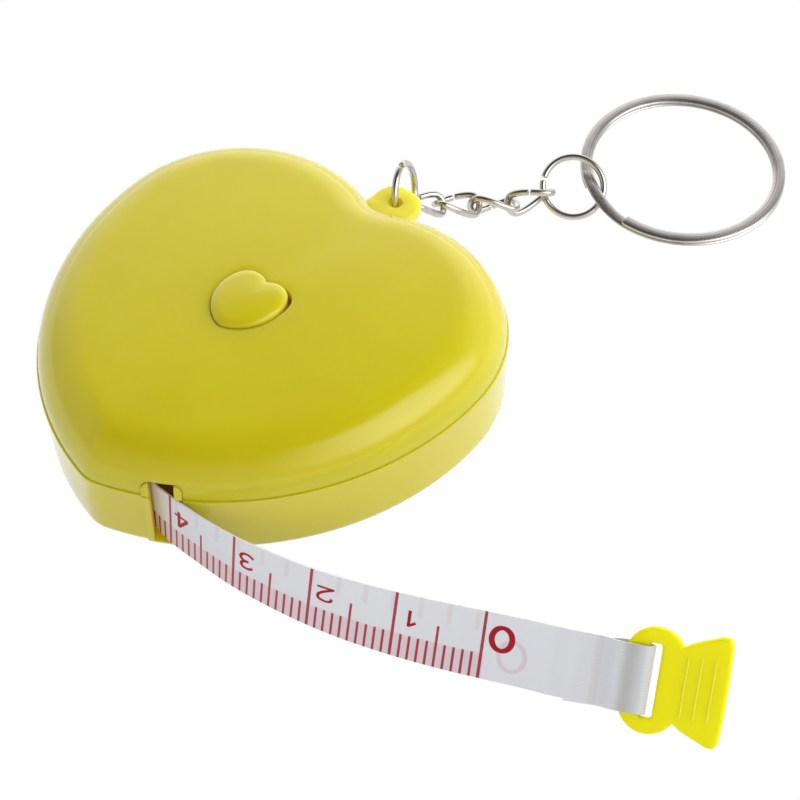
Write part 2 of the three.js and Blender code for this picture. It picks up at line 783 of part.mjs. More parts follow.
function openRing(radius, [from, to]) {
  const place = (t) => {
    const p = polar(degrees(to + (from + 360 - to) * t), radius);
    return new THREE.Vector3(p.x, p.y, 0);
  };
  return swept(new PathCurve(place), roundSection(wireRadius), 30, 4);
}

// Curb link: a long ring of wire twisted along its length, its ends butted on one side
function curbLink() {
  const straight = linkHalfLength - linkHalfWidth;
  const place = (t) => {
    const angle = degrees(90 + linkSeamAngle / 2 + (360 - linkSeamAngle) * t);
    const shift = THREE.MathUtils.clamp(linkSquareness * Math.cos(angle), -1, 1);
    const along = straight * shift + linkHalfWidth * Math.cos(angle);
    const across = linkHalfWidth * Math.sin(angle);
    const twist = (degrees(linkTwistAngle) * along) / linkHalfLength;
    return new THREE.Vector3(along, across * Math.cos(twist), across * Math.sin(twist));
  };
  return swept(new PathCurve(place), roundSection(wireRadius), 28, 4);
}

// Split ring: flat wire in two flat turns with one step down between its ends
function splitRing() {
  const middle = splitRingRadius - splitRingBand / 2;
  const climb = splitRingWire + splitRingGap;
  const place = (t) => {
    const angle = (720 - splitRingStepAngle - splitRingEndAngle) * t;
    const share = THREE.MathUtils.smoothstep(angle, 360 - splitRingStepAngle, 360);
    const p = polar(degrees(splitRingStartAngle + angle), middle);
    return new THREE.Vector3(p.x, p.y, splitRingWire / 2 + climb * (1 - share));
  };
  leastGap('split ring', place, 2, splitRingWire);
  return swept(new PathCurve(place), boxSection(splitRingWire, splitRingBand), 84, 1);
}

// Key chain: each piece is hooked to the last, from the lug to the split ring
function keyChain() {
  const group = new THREE.Group();
  const add = (name, geometry, turn, centre) => {
    const mesh = piece(name, geometry, chromeSteel);
    mesh.rotation.copy(turn);
    mesh.position.copy(centre);
    group.add(mesh);
  };

  const [normalAzimuth, normalSlope] = lugRingNormalAngles.map(degrees);
  const normal = new THREE.Vector3(1, 0, 0)
    .applyEuler(new THREE.Euler(0, -normalSlope, normalAzimuth, 'ZYX'));
  const flat = new THREE.Vector3(0, 0, 1).cross(normal).normalize();
  const steep = new THREE.Vector3().crossVectors(normal, flat);
  const around = (angle) => {
    const p = polar(degrees(angle), 1);
    return flat.clone().multiplyScalar(p.x).addScaledVector(steep, p.y);
  };
  const ringTurn = new THREE.Euler()
    .setFromRotationMatrix(new THREE.Matrix4().makeBasis(flat, steep, normal), 'ZYX');
  const hole = new THREE.Vector3(0, lugHoleY, lugMiddleZ);
  const ringCentre = hole.addScaledVector(around(lugRingHoleAngle), -lugRingRadius);
  add('lug_ring', openRing(lugRingRadius, lugRingMouthAngles), ringTurn, ringCentre);

  let lastAim = around(lugRingHookAngle);
  let farEnd = ringCentre.clone().addScaledVector(lastAim, lugRingRadius);
  linkAimAngles.forEach((angles, i) => {
    const { turn, axes } = aimFrame(angles);
    const centre = hooked(farEnd, lastAim, axes[0]).addScaledVector(axes[0], linkHalfLength);
    add(`chain_link_${i + 1}`, curbLink(), turn, centre);
    farEnd = centre.clone().addScaledVector(axes[0], linkHalfLength);
    lastAim = axes[0];
  });

  const jump = aimFrame(jumpRingAimAngles);
  const jumpCentre = hooked(farEnd, lastAim, jump.axes[0]).addScaledVector(jump.axes[0], jumpRingRadius);
  add('jump_ring', openRing(jumpRingRadius, jumpRingMouthAngles), jump.turn, jumpCentre);

  const away = polar(degrees(splitRingAzimuthAngle), 1);
  const spread = jumpRingRadius + splitRingRadius - splitRingBand - wireRadius - splitRingSlack;
  const lift = splitRingRadius * Math.sin(degrees(splitRingTiltAngle));
  const splitCentre = new THREE.Vector3(jumpCentre.x + spread * away.x, jumpCentre.y + spread * away.y, lift);
  const tilt = aimFrame([splitRingLeanAngle, -splitRingTiltAngle, 0]).turn;
  add('split_ring', splitRing(), tilt, splitCentre);
  return group;
}

// Whole object
const tapeMeasure = new THREE.Group();

const shells = new THREE.Group();
shells.add(piece('lower_shell', lowerShell(), shellYellow));
shells.add(piece('upper_shell', upperShell(), shellYellow));
tapeMeasure.add(shells);

const button = new THREE.Group();
button.add(piece('release_button', releaseButton(), shellYellow));
button.add(piece('brake_disc', brakeDisc(), whitePlastic));
button.add(piece('button_spring', buttonSpring(), springSteel));
tapeMeasure.add(button);

const reelGroup = new THREE.Group();
reelGroup.add(piece('reel', reel(), whitePlastic));
reelGroup.add(piece('brake_ring', brakeRing(), whitePlastic));
reelGroup.add(piece('spring_cover', springCover(), whitePlastic));
reelGroup.add(piece('mainspring', mainspring(), springSteel));
reelGroup.add(piece('tape_coil', tapeCoil(), tapeWhite));
tapeMeasure.add(reelGroup);

const tape = new THREE.Group();
tape.add(piece('tape_run', tapeRun(), tapeWhite));
tape.add(piece('tape_free', tapeFree(), tapeWhite));
const tapeEnd = new THREE.Group();
tapeEnd.add(piece('tape_end_fold', tapeFold(), tapeWhite));
tapeEnd.add(piece('pull_tab', pullTab(), tabYellow));
tapeEnd.position.set(...tabPoint);
tapeEnd.rotation.setFromRotationMatrix(new THREE.Matrix4().makeBasis(tabAlong, tabAcross, tabFace));
tape.add(tapeEnd);
tapeMeasure.add(tape);

tapeMeasure.add(keyChain());

export default tapeMeasure;
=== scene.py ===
"""Looks of a heart-shaped key-ring tape measure, built round its CAD frame."""

import math

import bpy
import numpy as np
from mathutils import Matrix, Vector


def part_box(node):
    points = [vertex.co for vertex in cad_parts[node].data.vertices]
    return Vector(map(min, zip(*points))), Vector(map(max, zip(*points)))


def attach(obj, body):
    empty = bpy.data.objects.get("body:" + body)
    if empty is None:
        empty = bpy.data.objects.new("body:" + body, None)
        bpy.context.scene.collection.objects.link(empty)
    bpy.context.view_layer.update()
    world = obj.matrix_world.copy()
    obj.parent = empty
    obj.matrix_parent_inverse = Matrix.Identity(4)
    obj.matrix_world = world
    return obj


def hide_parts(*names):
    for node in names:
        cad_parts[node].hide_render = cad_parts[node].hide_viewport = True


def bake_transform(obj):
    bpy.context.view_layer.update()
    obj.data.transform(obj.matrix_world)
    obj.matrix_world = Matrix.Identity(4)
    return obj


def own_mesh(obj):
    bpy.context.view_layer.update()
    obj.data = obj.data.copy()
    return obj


bl_info = {
    "name": "Heart tape measure",
    "version": (1, 0, 0),
    "blender": (4, 5, 0),
    "location": "View3D > Sidebar > Tape measure",
    "description": "Builds the case, tape, tab and key chain of a heart-shaped tape measure",
    "category": "Object",
}

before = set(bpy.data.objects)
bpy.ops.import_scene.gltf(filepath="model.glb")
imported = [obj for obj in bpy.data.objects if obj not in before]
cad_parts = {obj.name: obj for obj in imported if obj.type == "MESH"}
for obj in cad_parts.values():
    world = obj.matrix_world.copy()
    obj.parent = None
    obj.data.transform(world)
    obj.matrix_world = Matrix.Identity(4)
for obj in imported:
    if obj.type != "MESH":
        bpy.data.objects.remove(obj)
MM = 0.001
UP = np.array([0, 0, 1.0])

# Materials and pieces that one step leaves for the next
STORE = {}


def srgb(red, green, blue):
    """Linear colour of an 8-bit sRGB colour."""
    value = np.array([red, green, blue]) / 255
    linear = np.where(value <= 0.04045, value / 12.92, ((value + 0.055) / 1.055) ** 2.4)
    return (*linear.tolist(), 1.0)


def length(name, description, default):
    """A length property, given in millimetres."""
    return bpy.props.FloatProperty(
        name=name, description=description, default=default * MM, unit="LENGTH", precision=5
    )


def colour(name, description, default):
    """A colour property."""
    return bpy.props.FloatVectorProperty(
        name=name, description=description, default=default, subtype="COLOR", size=4, min=0, max=1
    )


class CaseSizes(bpy.types.PropertyGroup):
    """Sizes of the two shells and the button."""

    lobe_radius: length("Lobe radius", "Radius of the heart's two lobes", 18)
    lobe_x: length("Lobe x", "Distance of a lobe's centre from the middle", 9)
    lobe_y: length("Lobe y", "Distance of the lobes' centres behind the button", 8.55)
    cleft_radius: length("Cleft radius", "Radius of the fillet between the lobes", 3.5)
    side_radius: length("Side radius", "Radius of the long sides", 35)
    tip_radius: length("Tip radius", "Radius of the heart's tip", 5)
    tip_y: length("Tip y", "Place of the tip's centre", -21.6)
    parting: length("Parting line", "Height of the joint between the shells", 8.9)
    draft: length("Draft", "How far the wall leans in at its foot", 0.5)
    foot: length("Foot radius", "Rounding of the lower edge", 1.2)
    dome_reach: length("Dome reach", "How far in the dome's edge is rounded", 6)
    dome_rise: length("Dome rise", "Height of the dome's edge over the parting line", 5.6)
    crown: length("Crown", "Further rise towards the button", 0.5)
    roof: length("Roof", "Thickness of the dome", 1.4)
    button_gap: length("Button gap", "Gap round the button", 0.06)
    lobe_gap: length("Lobe gap", "Gap beside the button's right lobe", 0.45)
    button_rise: length("Button rise", "How far the button stands out", 0.9)


class TapeSizes(bpy.types.PropertyGroup):
    """Sizes of the tape and its print."""

    width: length("Width", "Width of the tape", 7.5)
    thickness: length("Thickness", "Thickness of the tape", 0.2)
    fold: length("Fold", "Length of the doubled end", 9)
    digit: length("Digit", "Height of the printed digits", 1.9)
    zero: length("Zero", "Height of the printed zero", 2.95)


class ChainSizes(bpy.types.PropertyGroup):
    """Sizes of the key chain."""

    wire: length("Wire", "Radius of the chain's wire", 0.42)
    lug_ring: length("Lug ring", "Radius of the ring in the lug", 3.57)
    link_length: length("Link half length", "Half the length of a link's centre line", 2.9)
    link_width: length("Link half width", "Half the width of a link's centre line", 1.5)
    jump_ring: length("Jump ring", "Radius of the jump ring", 3.75)
    key_ring: length("Key ring", "Outer radius of the split ring", 12.7)
    band: length("Band", "Width of the split ring's wire", 1.5)


class Looks(bpy.types.PropertyGroup):
    """Colours of the tape measure."""

    shell: colour("Shell", "Yellow of the case", srgb(209, 197, 18))
    shell_deep: colour("Shell, deep", "Yellow of the case where it is thick", srgb(199, 181, 7))
    tab: colour("Tab", "Yellow of the pull tab", srgb(240, 232, 5))
    tape: colour("Tape", "White of the tape", srgb(230, 231, 236))
    ink: colour("Ink", "Red of the print", srgb(166, 12, 36))
    metal: colour("Metal", "Plating of the chain", srgb(206, 200, 193))
    ring: colour("Key ring", "Plating of the key ring", srgb(226, 220, 216))
    inside: colour("Inside", "White of the inner mouldings", srgb(222, 222, 216))


# Meshes on grids

SHELL_CREASE = 32
CAP_RINGS = 6


def add_mesh(name, points, faces, material, smooth=40, uv=None):
    """Object from points and quads.

    Each quad and the origin make a pyramid, whose volume is its first corner times the cross products of
    the others. The quads are turned round if the sum of the volumes is negative."""
    quads = np.asarray(faces)
    a, b, c, d = (points[quads[:, i]] for i in range(4))
    if np.einsum("ij,ij->", a, np.cross(b, c) + np.cross(c, d)) < 0:
        quads = quads[:, ::-1]
    mesh = bpy.data.meshes.new(name)
    mesh.from_pydata(points.tolist(), [], quads.tolist())
    if uv is not None:
        layer = mesh.uv_layers.new(name="UVMap")
        layer.data.foreach_set("uv", uv[quads.ravel()].ravel())
    mesh.validate()
    return add_object(name, mesh, material, smooth)


def add_object(name, mesh, material, smooth):
    """Object for a mesh in one material."""
    soften(mesh, smooth)
    mesh.materials.append(material)
    return new_object(name, mesh)


def new_object(name, data):
    """Object for a mesh, curve, camera or light, put in the scene."""
    obj = bpy.data.objects.new(name, data)
    bpy.context.scene.collection.objects.link(obj)
    return obj


def soften(mesh, angle):
    """Smooth shading, except over edges that turn by more than an angle in degrees."""
    mesh.polygons.foreach_set("use_smooth", np.ones(len(mesh.polygons), dtype=bool))
    mesh.set_sharp_from_angle(angle=math.radians(angle))


def final_mesh(obj):
    """An object's mesh with its modifiers or bevel applied."""
    graph = bpy.context.evaluated_depsgraph_get()
    return bpy.data.meshes.new_from_object(obj.evaluated_get(graph))


def grid_faces(rows, columns, wrap_rows, wrap_columns):
    """Quads between neighbours in a grid, joined round in either direction where it wraps."""
    row = np.arange(rows if wrap_rows else rows - 1)[:, None]
    column = np.arange(columns if wrap_columns else columns - 1)[None]
    here, ahead = row * columns, (row + 1) % rows * columns
    aside = (column + 1) % columns
    return np.stack([here + column, here + aside, ahead + aside, ahead + column], axis=-1).reshape(-1, 4)


def end_faces(rows, columns):
    """Quads that shut the first and last ring of a grid, between points that face each other."""
    ladder = np.arange(columns // 2 - 1)
    fan = np.stack([ladder, ladder + 1, columns - 2 - ladder, columns - 1 - ladder], axis=-1)
    return np.concatenate([fan[:, ::-1], fan + (rows - 1) * columns])


def loft(name, rings, material, wrap=False, smooth=40):
    """Surface through closed rings of points.

    The last ring joins the first where they wrap. Otherwise each end gets two more rings, shrunk towards
    its middle, and is shut."""
    grid = np.stack(rings)
    if not wrap:
        shrink = np.array([0.02, 0.5])[:, None, None]
        first, last = grid[0].mean(axis=0), grid[-1].mean(axis=0)
        head = first + (grid[0] - first) * shrink
        tail = last + (grid[-1] - last) * shrink[::-1]
        grid = np.concatenate([head, grid, tail])
    rows, columns, _ = grid.shape
    faces = grid_faces(rows, columns, wrap, True)
    if not wrap:
        faces = np.concatenate([faces, end_faces(rows, columns)])
    return add_mesh(name, grid.reshape(-1, 3), faces, material, smooth)


def combine(obj, other, operation):
    """Adds, cuts or intersects another object, which is then removed."""
    modifier = obj.modifiers.new("Combine", "BOOLEAN")
    modifier.object = other
    modifier.operation = operation
    modifier.solver = "EXACT"
    modifier.material_mode = "TRANSFER"
    mesh = final_mesh(obj)
    old = obj.data
    obj.modifiers.clear()
    obj.data = mesh
    bpy.data.meshes.remove(old)
    bpy.data.objects.remove(other)
    soften(mesh, SHELL_CREASE)


def plate(name, outlines, thick, edge, material):
    """Flat plate with rounded edges, in millimetres: the first outline is filled, the others are holes."""
    curve = bpy.data.curves.new(name, "CURVE")
    curve.dimensions = "2D"
    curve.fill_mode = "BOTH"
    curve.extrude = thick / 2 - edge
    curve.bevel_depth = edge
    curve.bevel_resolution = 3
    curve.offset = -edge
    for outline in outlines:
        line = curve.splines.new("POLY")
        line.points.add(len(outline) - 1)
        corners = np.column_stack([outline, np.zeros(len(outline)), np.ones(len(outline))])
        line.points.foreach_set("co", corners.ravel())
        line.use_cyclic_u = True
    holder = new_object(name, curve)
    mesh = final_mesh(holder)
    bpy.data.objects.remove(holder)
    bpy.data.curves.remove(curve)
    mesh.materials.clear()
    return add_object(name, mesh, material, 30)


def move(obj, place):
    """Puts an object's points, in millimetres, where a function of them says."""
    points = np.empty(len(obj.data.vertices) * 3)
    obj.data.vertices.foreach_get("co", points)
    obj.data.vertices.foreach_set("co", place(points.reshape(-1, 3) * MM).ravel())
    obj.data.update()


def polar(angles, radius):
    """Points at angles on a circle: radius times their cosines and sines."""
    return np.stack([radius * np.cos(angles), radius * np.sin(angles)], axis=-1)


def circle(radius, count=20):
    """Evenly spread points on a circle."""
    return polar(np.linspace(0, 2 * math.pi, count, endpoint=False), radius)


def unit(vectors):
    """Vectors divided by their lengths."""
    return vectors / np.linalg.norm(vectors, axis=-1, keepdims=True)


def spline(stations, samples):
    """Points on a smooth curve through stations: cubic pieces whose slopes are central differences."""
    slopes = np.gradient(stations, axis=0)
    place = np.linspace(0, len(stations) - 1, samples)
    index = np.minimum(place.astype(int), len(stations) - 2)
    t = (place - index)[:, None]
    leave = (2 * t**3 - 3 * t**2 + 1) * stations[index] + (t**3 - 2 * t**2 + t) * slopes[index]
    return leave + (3 * t**2 - 2 * t**3) * stations[index + 1] + (t**3 - t**2) * slopes[index + 1]


def evenly(points, step):
    """Points a steady distance apart along a line of points, and their distances from its start."""
    steps = np.linalg.norm(np.diff(points[:, :3], axis=0), axis=1)
    travelled = np.concatenate([[0], np.cumsum(steps)])
    distance = np.linspace(0, travelled[-1], int(travelled[-1] / step) + 1)
    columns = [np.interp(distance, travelled, points[:, k]) for k in range(points.shape[1])]
    return np.stack(columns, axis=-1), distance


def tube(name, path, reference, section, material, rounding=0.0):
    """Section swept along a path.

    At each point it stands square to the path, its first axis as near to the reference as that allows.
    The reference is one direction, or one for each point. Rounded ends reach on by the cosine of an angle
    while the section shrinks by its sine."""
    along = unit(np.gradient(path, axis=0))
    reference = np.broadcast_to(reference, path.shape)
    first = unit(reference - np.einsum("ij,ij->i", reference, along)[:, None] * along)
    second = np.cross(along, first)
    scale = np.ones(len(path))
    if rounding:
        turn = np.linspace(0.12, 0.9, CAP_RINGS) * math.pi / 2
        reach = rounding * np.cos(turn)
        scale = np.concatenate([np.sin(turn), scale, np.sin(turn)[::-1]])
        head = path[0] - along[0] * reach[:, None]
        tail = path[-1] + along[-1] * reach[::-1, None]
        path = np.concatenate([head, path, tail])
        more = ((CAP_RINGS, CAP_RINGS), (0, 0))
        first, second = (np.pad(axis, more, mode="edge") for axis in (first, second))
    across = first[:, None] * section[None, :, :1] + second[:, None] * section[None, :, 1:]
    return loft(name, path[:, None] + across * scale[:, None, None], material)


# Heart outlines

ARC_POINTS = (14, 60, 52, 26)
BUTTON_MIDDLE = 0.9 * MM


def heart_of(sizes):
    """Arcs of the case's heart as a plain dictionary, in metres."""
    keys = ("lobe_radius", "lobe_x", "lobe_y", "cleft_radius", "side_radius", "tip_radius", "tip_y")
    return {key: getattr(sizes, key) for key in keys} | {"least_tip": 2 * MM}


def button_heart():
    """Arcs of the button's heart, in metres."""
    arcs = {
        "lobe_radius": 2.35, "lobe_x": 1.6, "lobe_y": 2.55, "cleft_radius": 0.3,
        "side_radius": 5.5, "tip_radius": 1.55, "tip_y": -2.35, "least_tip": 0.5,
    }
    return {key: value * MM for key, value in arcs.items()}


def side_centre(heart):
    """Centre of the long side's arc: as far from the lobe's and the tip's centres as the radii differ."""
    lobe = np.array([heart["lobe_x"], heart["lobe_y"]])
    tip = np.array([0, heart["tip_y"]])
    span = np.linalg.norm(tip - lobe)
    to_lobe = heart["side_radius"] - heart["lobe_radius"]
    to_tip = heart["side_radius"] - heart["tip_radius"]
    along = (to_lobe**2 - to_tip**2 + span**2) / (2 * span)
    across = math.sqrt(to_lobe**2 - along**2)
    aim = (tip - lobe) / span
    return lobe + aim * along + np.array([aim[1], -aim[0]]) * across


def cleft_centre(heart):
    """Height of the cleft fillet's centre, which touches both lobes from outside."""
    reach = heart["lobe_radius"] + heart["cleft_radius"]
    return heart["lobe_y"] + math.sqrt(reach**2 - heart["lobe_x"] ** 2)


def heart_outline(heart, inset):
    """Closed heart moved in by an inset: cleft fillet, lobe, long side and tip, then the same mirrored.

    Each arc ends where the line through its centre and the next one's meets it."""
    side = side_centre(heart)
    lobe = np.array([heart["lobe_x"], heart["lobe_y"]])
    cleft = np.array([0, cleft_centre(heart)])
    tip_radius = max(heart["tip_radius"] - inset, heart["least_tip"])
    drop = math.sqrt((heart["side_radius"] - inset - tip_radius) ** 2 - side[0] ** 2)
    tip = np.array([0, side[1] - drop])
    turn = lambda v: math.atan2(v[1], v[0])
    cleft_end = turn(lobe - cleft)
    lobe_end = turn(lobe - side)
    side_end = turn(tip - side)
    arcs = [
        (cleft, heart["cleft_radius"] + inset, -math.pi / 2, cleft_end),
        (lobe, heart["lobe_radius"] - inset, cleft_end + math.pi, lobe_end),
        (side, heart["side_radius"] - inset, lobe_end, side_end),
        (tip, tip_radius, side_end, -math.pi / 2),
    ]
    parts = [
        centre + polar(np.linspace(start, end, count, endpoint=False), radius)
        for (centre, radius, start, end), count in zip(arcs, ARC_POINTS)
    ]
    right = np.concatenate(parts)
    last = np.array([[0, tip[1] - tip_radius]])
    left = right[1:][::-1] * np.array([-1, 1])
    return np.concatenate([right, last, left])[::-1]


def flat_ring(outline, z):
    """Outline laid flat at a height."""
    return np.column_stack([outline, np.full(len(outline), z)])


# Materials


def new_group(name, inputs, outputs):
    """Shader node group with colour, value and vector sockets."""
    group = bpy.data.node_groups.new(name, "ShaderNodeTree")
    for label, kind, default in inputs:
        socket = group.interface.new_socket(label, in_out="INPUT", socket_type=kind)
        socket.default_value = default
    for label, kind in outputs:
        group.interface.new_socket(label, in_out="OUTPUT", socket_type=kind)
    return group, group.nodes.new("NodeGroupInput"), group.nodes.new("NodeGroupOutput")


class Wiring:
    """Short ways to add and join nodes in one tree."""

    def __init__(self, tree):
        self.tree = tree

    def node(self, kind, *values, **settings):
        """New node with its settings, and values for its first sockets."""
        node = self.tree.nodes.new(kind)
        for key, value in settings.items():
            setattr(node, key, value)
        for socket, value in zip(node.inputs, values):
            self.feed(socket, value)
        return node

    def feed(self, socket, value):
        """Joins a socket to another, or gives it a plain value."""
        if isinstance(value, bpy.types.NodeSocket):
            self.tree.links.new(value, socket)
        else:
            socket.default_value = value

    def math(self, operation, *values):
        """One step of arithmetic."""
        return self.node("ShaderNodeMath", *values, operation=operation).outputs[0]

    def vector(self, operation, *values):
        """One step of arithmetic with vectors, which gives a vector or a value."""
        return self.node("ShaderNodeVectorMath", *values, operation=operation).outputs

    def split(self, vector):
        """The three parts of a vector."""
        return self.node("ShaderNodeSeparateXYZ", vector).outputs

    def mix(self, share, a, b):
        """Colour that goes from one to another by a share."""
        node = self.node("ShaderNodeMix", data_type="RGBA")
        self.feed(node.inputs[0], share)
        self.feed(node.inputs[6], a)
        self.feed(node.inputs[7], b)
        return node.outputs[2]

    def remap(self, value, low, high, to_low=0.0, to_high=1.0):
        """Smooth step from one value to another as the input goes from low to high."""
        values = (value, low, high, to_low, to_high)
        return self.node("ShaderNodeMapRange", *values, interpolation_type="SMOOTHSTEP").outputs[0]

    def product(self, *values):
        """All the values multiplied."""
        result = values[0]
        for value in values[1:]:
            result = self.math("MULTIPLY", result, value)
        return result

    def away(self, value, step=1.0):
        """Distance of a value from the nearest multiple of a step."""
        nearest = self.math("MULTIPLY", self.math("ROUND", self.math("DIVIDE", value, step)), step)
        return self.math("ABSOLUTE", self.math("SUBTRACT", value, nearest))

    def place(self):
        """Place on the piece, in metres."""
        return self.node("ShaderNodeTexCoord").outputs["Object"]

    def noise(self, place, scale, detail):
        """Soft noise from 0 to 1."""
        node = self.node("ShaderNodeTexNoise")
        for label, value in (("Vector", place), ("Scale", scale), ("Detail", detail)):
            self.feed(node.inputs[label], value)
        return node.outputs["Fac"]

    def bump(self, height, strength, distance):
        """Normal of a surface that a height raises a little."""
        node = self.node("ShaderNodeBump")
        for label, value in (("Strength", strength), ("Distance", distance), ("Height", height)):
            self.feed(node.inputs[label], value)
        return node.outputs["Normal"]


FINISH = [("Color", "NodeSocketColor"), ("Roughness", "NodeSocketFloat"), ("Normal", "NodeSocketVector")]
WHITE = (1, 1, 1, 1)


def moulded_group():
    """Moulded plastic: faint flow mottling and a fine orange-peel."""
    group, enter, leave = new_group(
        "Moulded plastic",
        [("Light", "NodeSocketColor", WHITE), ("Deep", "NodeSocketColor", WHITE),
         ("Gloss", "NodeSocketFloat", 0.3)],
        FINISH,
    )
    w = Wiring(group)
    place = w.place()
    flow = w.noise(place, 55.0, 3.0)
    grain = w.noise(place, 900.0, 2.0)
    share = w.math("MULTIPLY", w.remap(flow, 0.3, 0.7), 0.35)
    w.feed(leave.inputs["Color"], w.mix(share, enter.outputs["Light"], enter.outputs["Deep"]))
    w.feed(leave.inputs["Roughness"], w.math("MULTIPLY_ADD", grain, 0.08, enter.outputs["Gloss"]))
    w.feed(leave.inputs["Normal"], w.bump(grain, 0.06, 0.04 * MM))
    return group


def plated_group():
    """Plated wire: small dull patches."""
    group, enter, leave = new_group(
        "Plated wire", [("Metal", "NodeSocketColor", WHITE), ("Gloss", "NodeSocketFloat", 0.1)], FINISH
    )
    w = Wiring(group)
    patch = w.noise(w.place(), 420.0, 4.0)
    dark = w.mix(0.35, enter.outputs["Metal"], (0.2, 0.19, 0.18, 1))
    share = w.remap(patch, 0.5, 0.8)
    w.feed(leave.inputs["Color"], w.mix(share, enter.outputs["Metal"], dark))
    w.feed(leave.inputs["Roughness"], w.math("MULTIPLY_ADD", patch, 0.1, enter.outputs["Gloss"]))
    w.feed(leave.inputs["Normal"], w.bump(patch, 0.08, 0.03 * MM))
    return group


def scale_group():
    """Masks of the tape's print and cloth, and of a painted shade band on the doubled end.

    A line crosses the tape each centimetre, with shorter ones each 5 mm and 1 mm, and the far side's marks
    show through. U is centimetres from the zero line. V runs from the lower edge, 0, to the upper edge, 1,
    and is 2 or more on the rear."""
    labels = ("Ink", "Ghost", "Weave", "Tint", "Weld", "Thread")
    group, _, leave = new_group("Printed scale", [], [(label, "NodeSocketFloat") for label in labels])
    w = Wiring(group)
    u, v, _ = w.split(w.node("ShaderNodeUVMap", uv_map="UVMap").outputs[0])
    printed = w.math("GREATER_THAN", u, -0.03)
    front = w.math("LESS_THAN", v, 1.5)

    # Lines: their reach is a share of the tape's width, and their half width is in millimetres
    short, more_at_five, more_at_ten = 0.37, 0.26, 0.7
    thin, thicker_at_ten, soft = 0.125, 0.03, 0.045
    marks = w.math("MULTIPLY", u, 10.0)
    number = w.math("ROUND", marks)
    is_ten = w.math("LESS_THAN", w.away(number, 10.0), 0.5)
    is_five = w.math("LESS_THAN", w.away(number, 5.0), 0.5)
    reach = w.math("MULTIPLY_ADD", is_five, more_at_five, short)
    reach = w.math("MULTIPLY_ADD", is_ten, more_at_ten, reach)
    half = w.math("MULTIPLY_ADD", is_ten, thicker_at_ten, thin)
    line = w.remap(w.away(marks), half, w.math("ADD", half, soft), 1.0, 0.0)
    below = w.math("LESS_THAN", v, reach)
    w.feed(leave.inputs["Ink"], w.product(line, below, printed, front))
    w.feed(leave.inputs["Tint"], w.product(w.remap(v, 0.34, 0.4, 1.0, 0.0), printed, front))

    # Far side's eighths of an inch along the upper edge, and the end of the doubled tape
    first_eighth, eighth = 0.8, 3.175
    eighths = w.math("DIVIDE", w.math("SUBTRACT", marks, first_eighth), eighth)
    ghost = w.remap(w.away(eighths), 0.03, 0.13, 1.0, 0.0)
    ghost = w.product(ghost, w.math("GREATER_THAN", v, 0.7), printed)
    seam = w.remap(w.math("ABSOLUTE", w.math("ADD", u, 1.25)), 0.02, 0.07, 1.0, 0.0)
    ghost = w.math("MAXIMUM", ghost, w.math("MULTIPLY", seam, 0.9))
    w.feed(leave.inputs["Ghost"], w.math("MULTIPLY", ghost, front))

    # Painted shade: a grey band across the doubled end beside the tab; then threads of the doubled tape,
    # and the weave
    rise, fall = w.remap(u, -1.47, -1.6, 0.0, 1.0), w.remap(u, -1.62, -1.78, 1.0, 0.35)
    w.feed(leave.inputs["Weld"], w.product(rise, fall, front))
    threads = w.math("MULTIPLY_ADD", w.math("SINE", w.math("MULTIPLY", v, 150.0)), 0.5, 0.5)
    w.feed(leave.inputs["Thread"], w.product(w.remap(u, -0.95, -1.1, 0.0, 1.0), front, threads))
    warp = w.math("SINE", w.math("MULTIPLY", u, 260.0))
    weft = w.math("SINE", w.math("MULTIPLY", v, 200.0))
    w.feed(leave.inputs["Weave"], w.math("MULTIPLY_ADD", w.math("MULTIPLY", warp, weft), 0.5, 0.5))
    return group


def new_material(name):
    """Material with its wiring and its shader."""
    material = bpy.data.materials.new(name)
    material.use_nodes = True
    return material, Wiring(material.node_tree), material.node_tree.nodes["Principled BSDF"]


def set_plain(node, values):
    """Puts plain values on a node's own sockets."""
    for label, value in values.items():
        node.inputs[label].default_value = value


def finish_from(w, shader, group, **values):
    """Colour, roughness and normal of a shader from a finish group with its own values."""
    node = w.node("ShaderNodeGroup", node_tree=group)
    set_plain(node, values)
    for label, (output, _) in zip(("Base Color", "Roughness", "Normal"), FINISH):
        w.feed(shader.inputs[label], node.outputs[output])


def plastic(name, group, light, deep, gloss, coat=0.0, through=0.0, sheen=0.0):
    """Plastic with its mottling and gloss from the shared group, which lets light through a little."""
    material, w, shader = new_material(name)
    finish_from(w, shader, group, Light=light, Deep=deep, Gloss=gloss)
    set_plain(shader, {
        "Coat Weight": coat,
        "Coat Roughness": 0.05,
        "Specular IOR Level": 0.28 - 0.2 * coat,
        "Sheen Weight": sheen,
        "Sheen Roughness": 0.35,
        "Sheen Tint": (1.0, 0.97, 0.7, 1.0),
        "Subsurface Weight": through,
        "Subsurface Radius": (0.003, 0.0022, 0.0004),
        "Subsurface Scale": 1.0,
    })
    return material


def lined(material):
    """Painted glow for the inside of the shell: a dim warm emission that stands in for daylight coming
    through the plastic.
    """
    shader = material.node_tree.nodes["Principled BSDF"]
    set_plain(shader, {"Emission Color": srgb(214, 138, 22), "Emission Strength": 0.11})
    return material


def metal(name, group, tint, gloss):
    """Bright plated metal."""
    material, w, shader = new_material(name)
    finish_from(w, shader, group, Metal=tint, Gloss=gloss)
    shader.inputs["Metallic"].default_value = 1
    return material


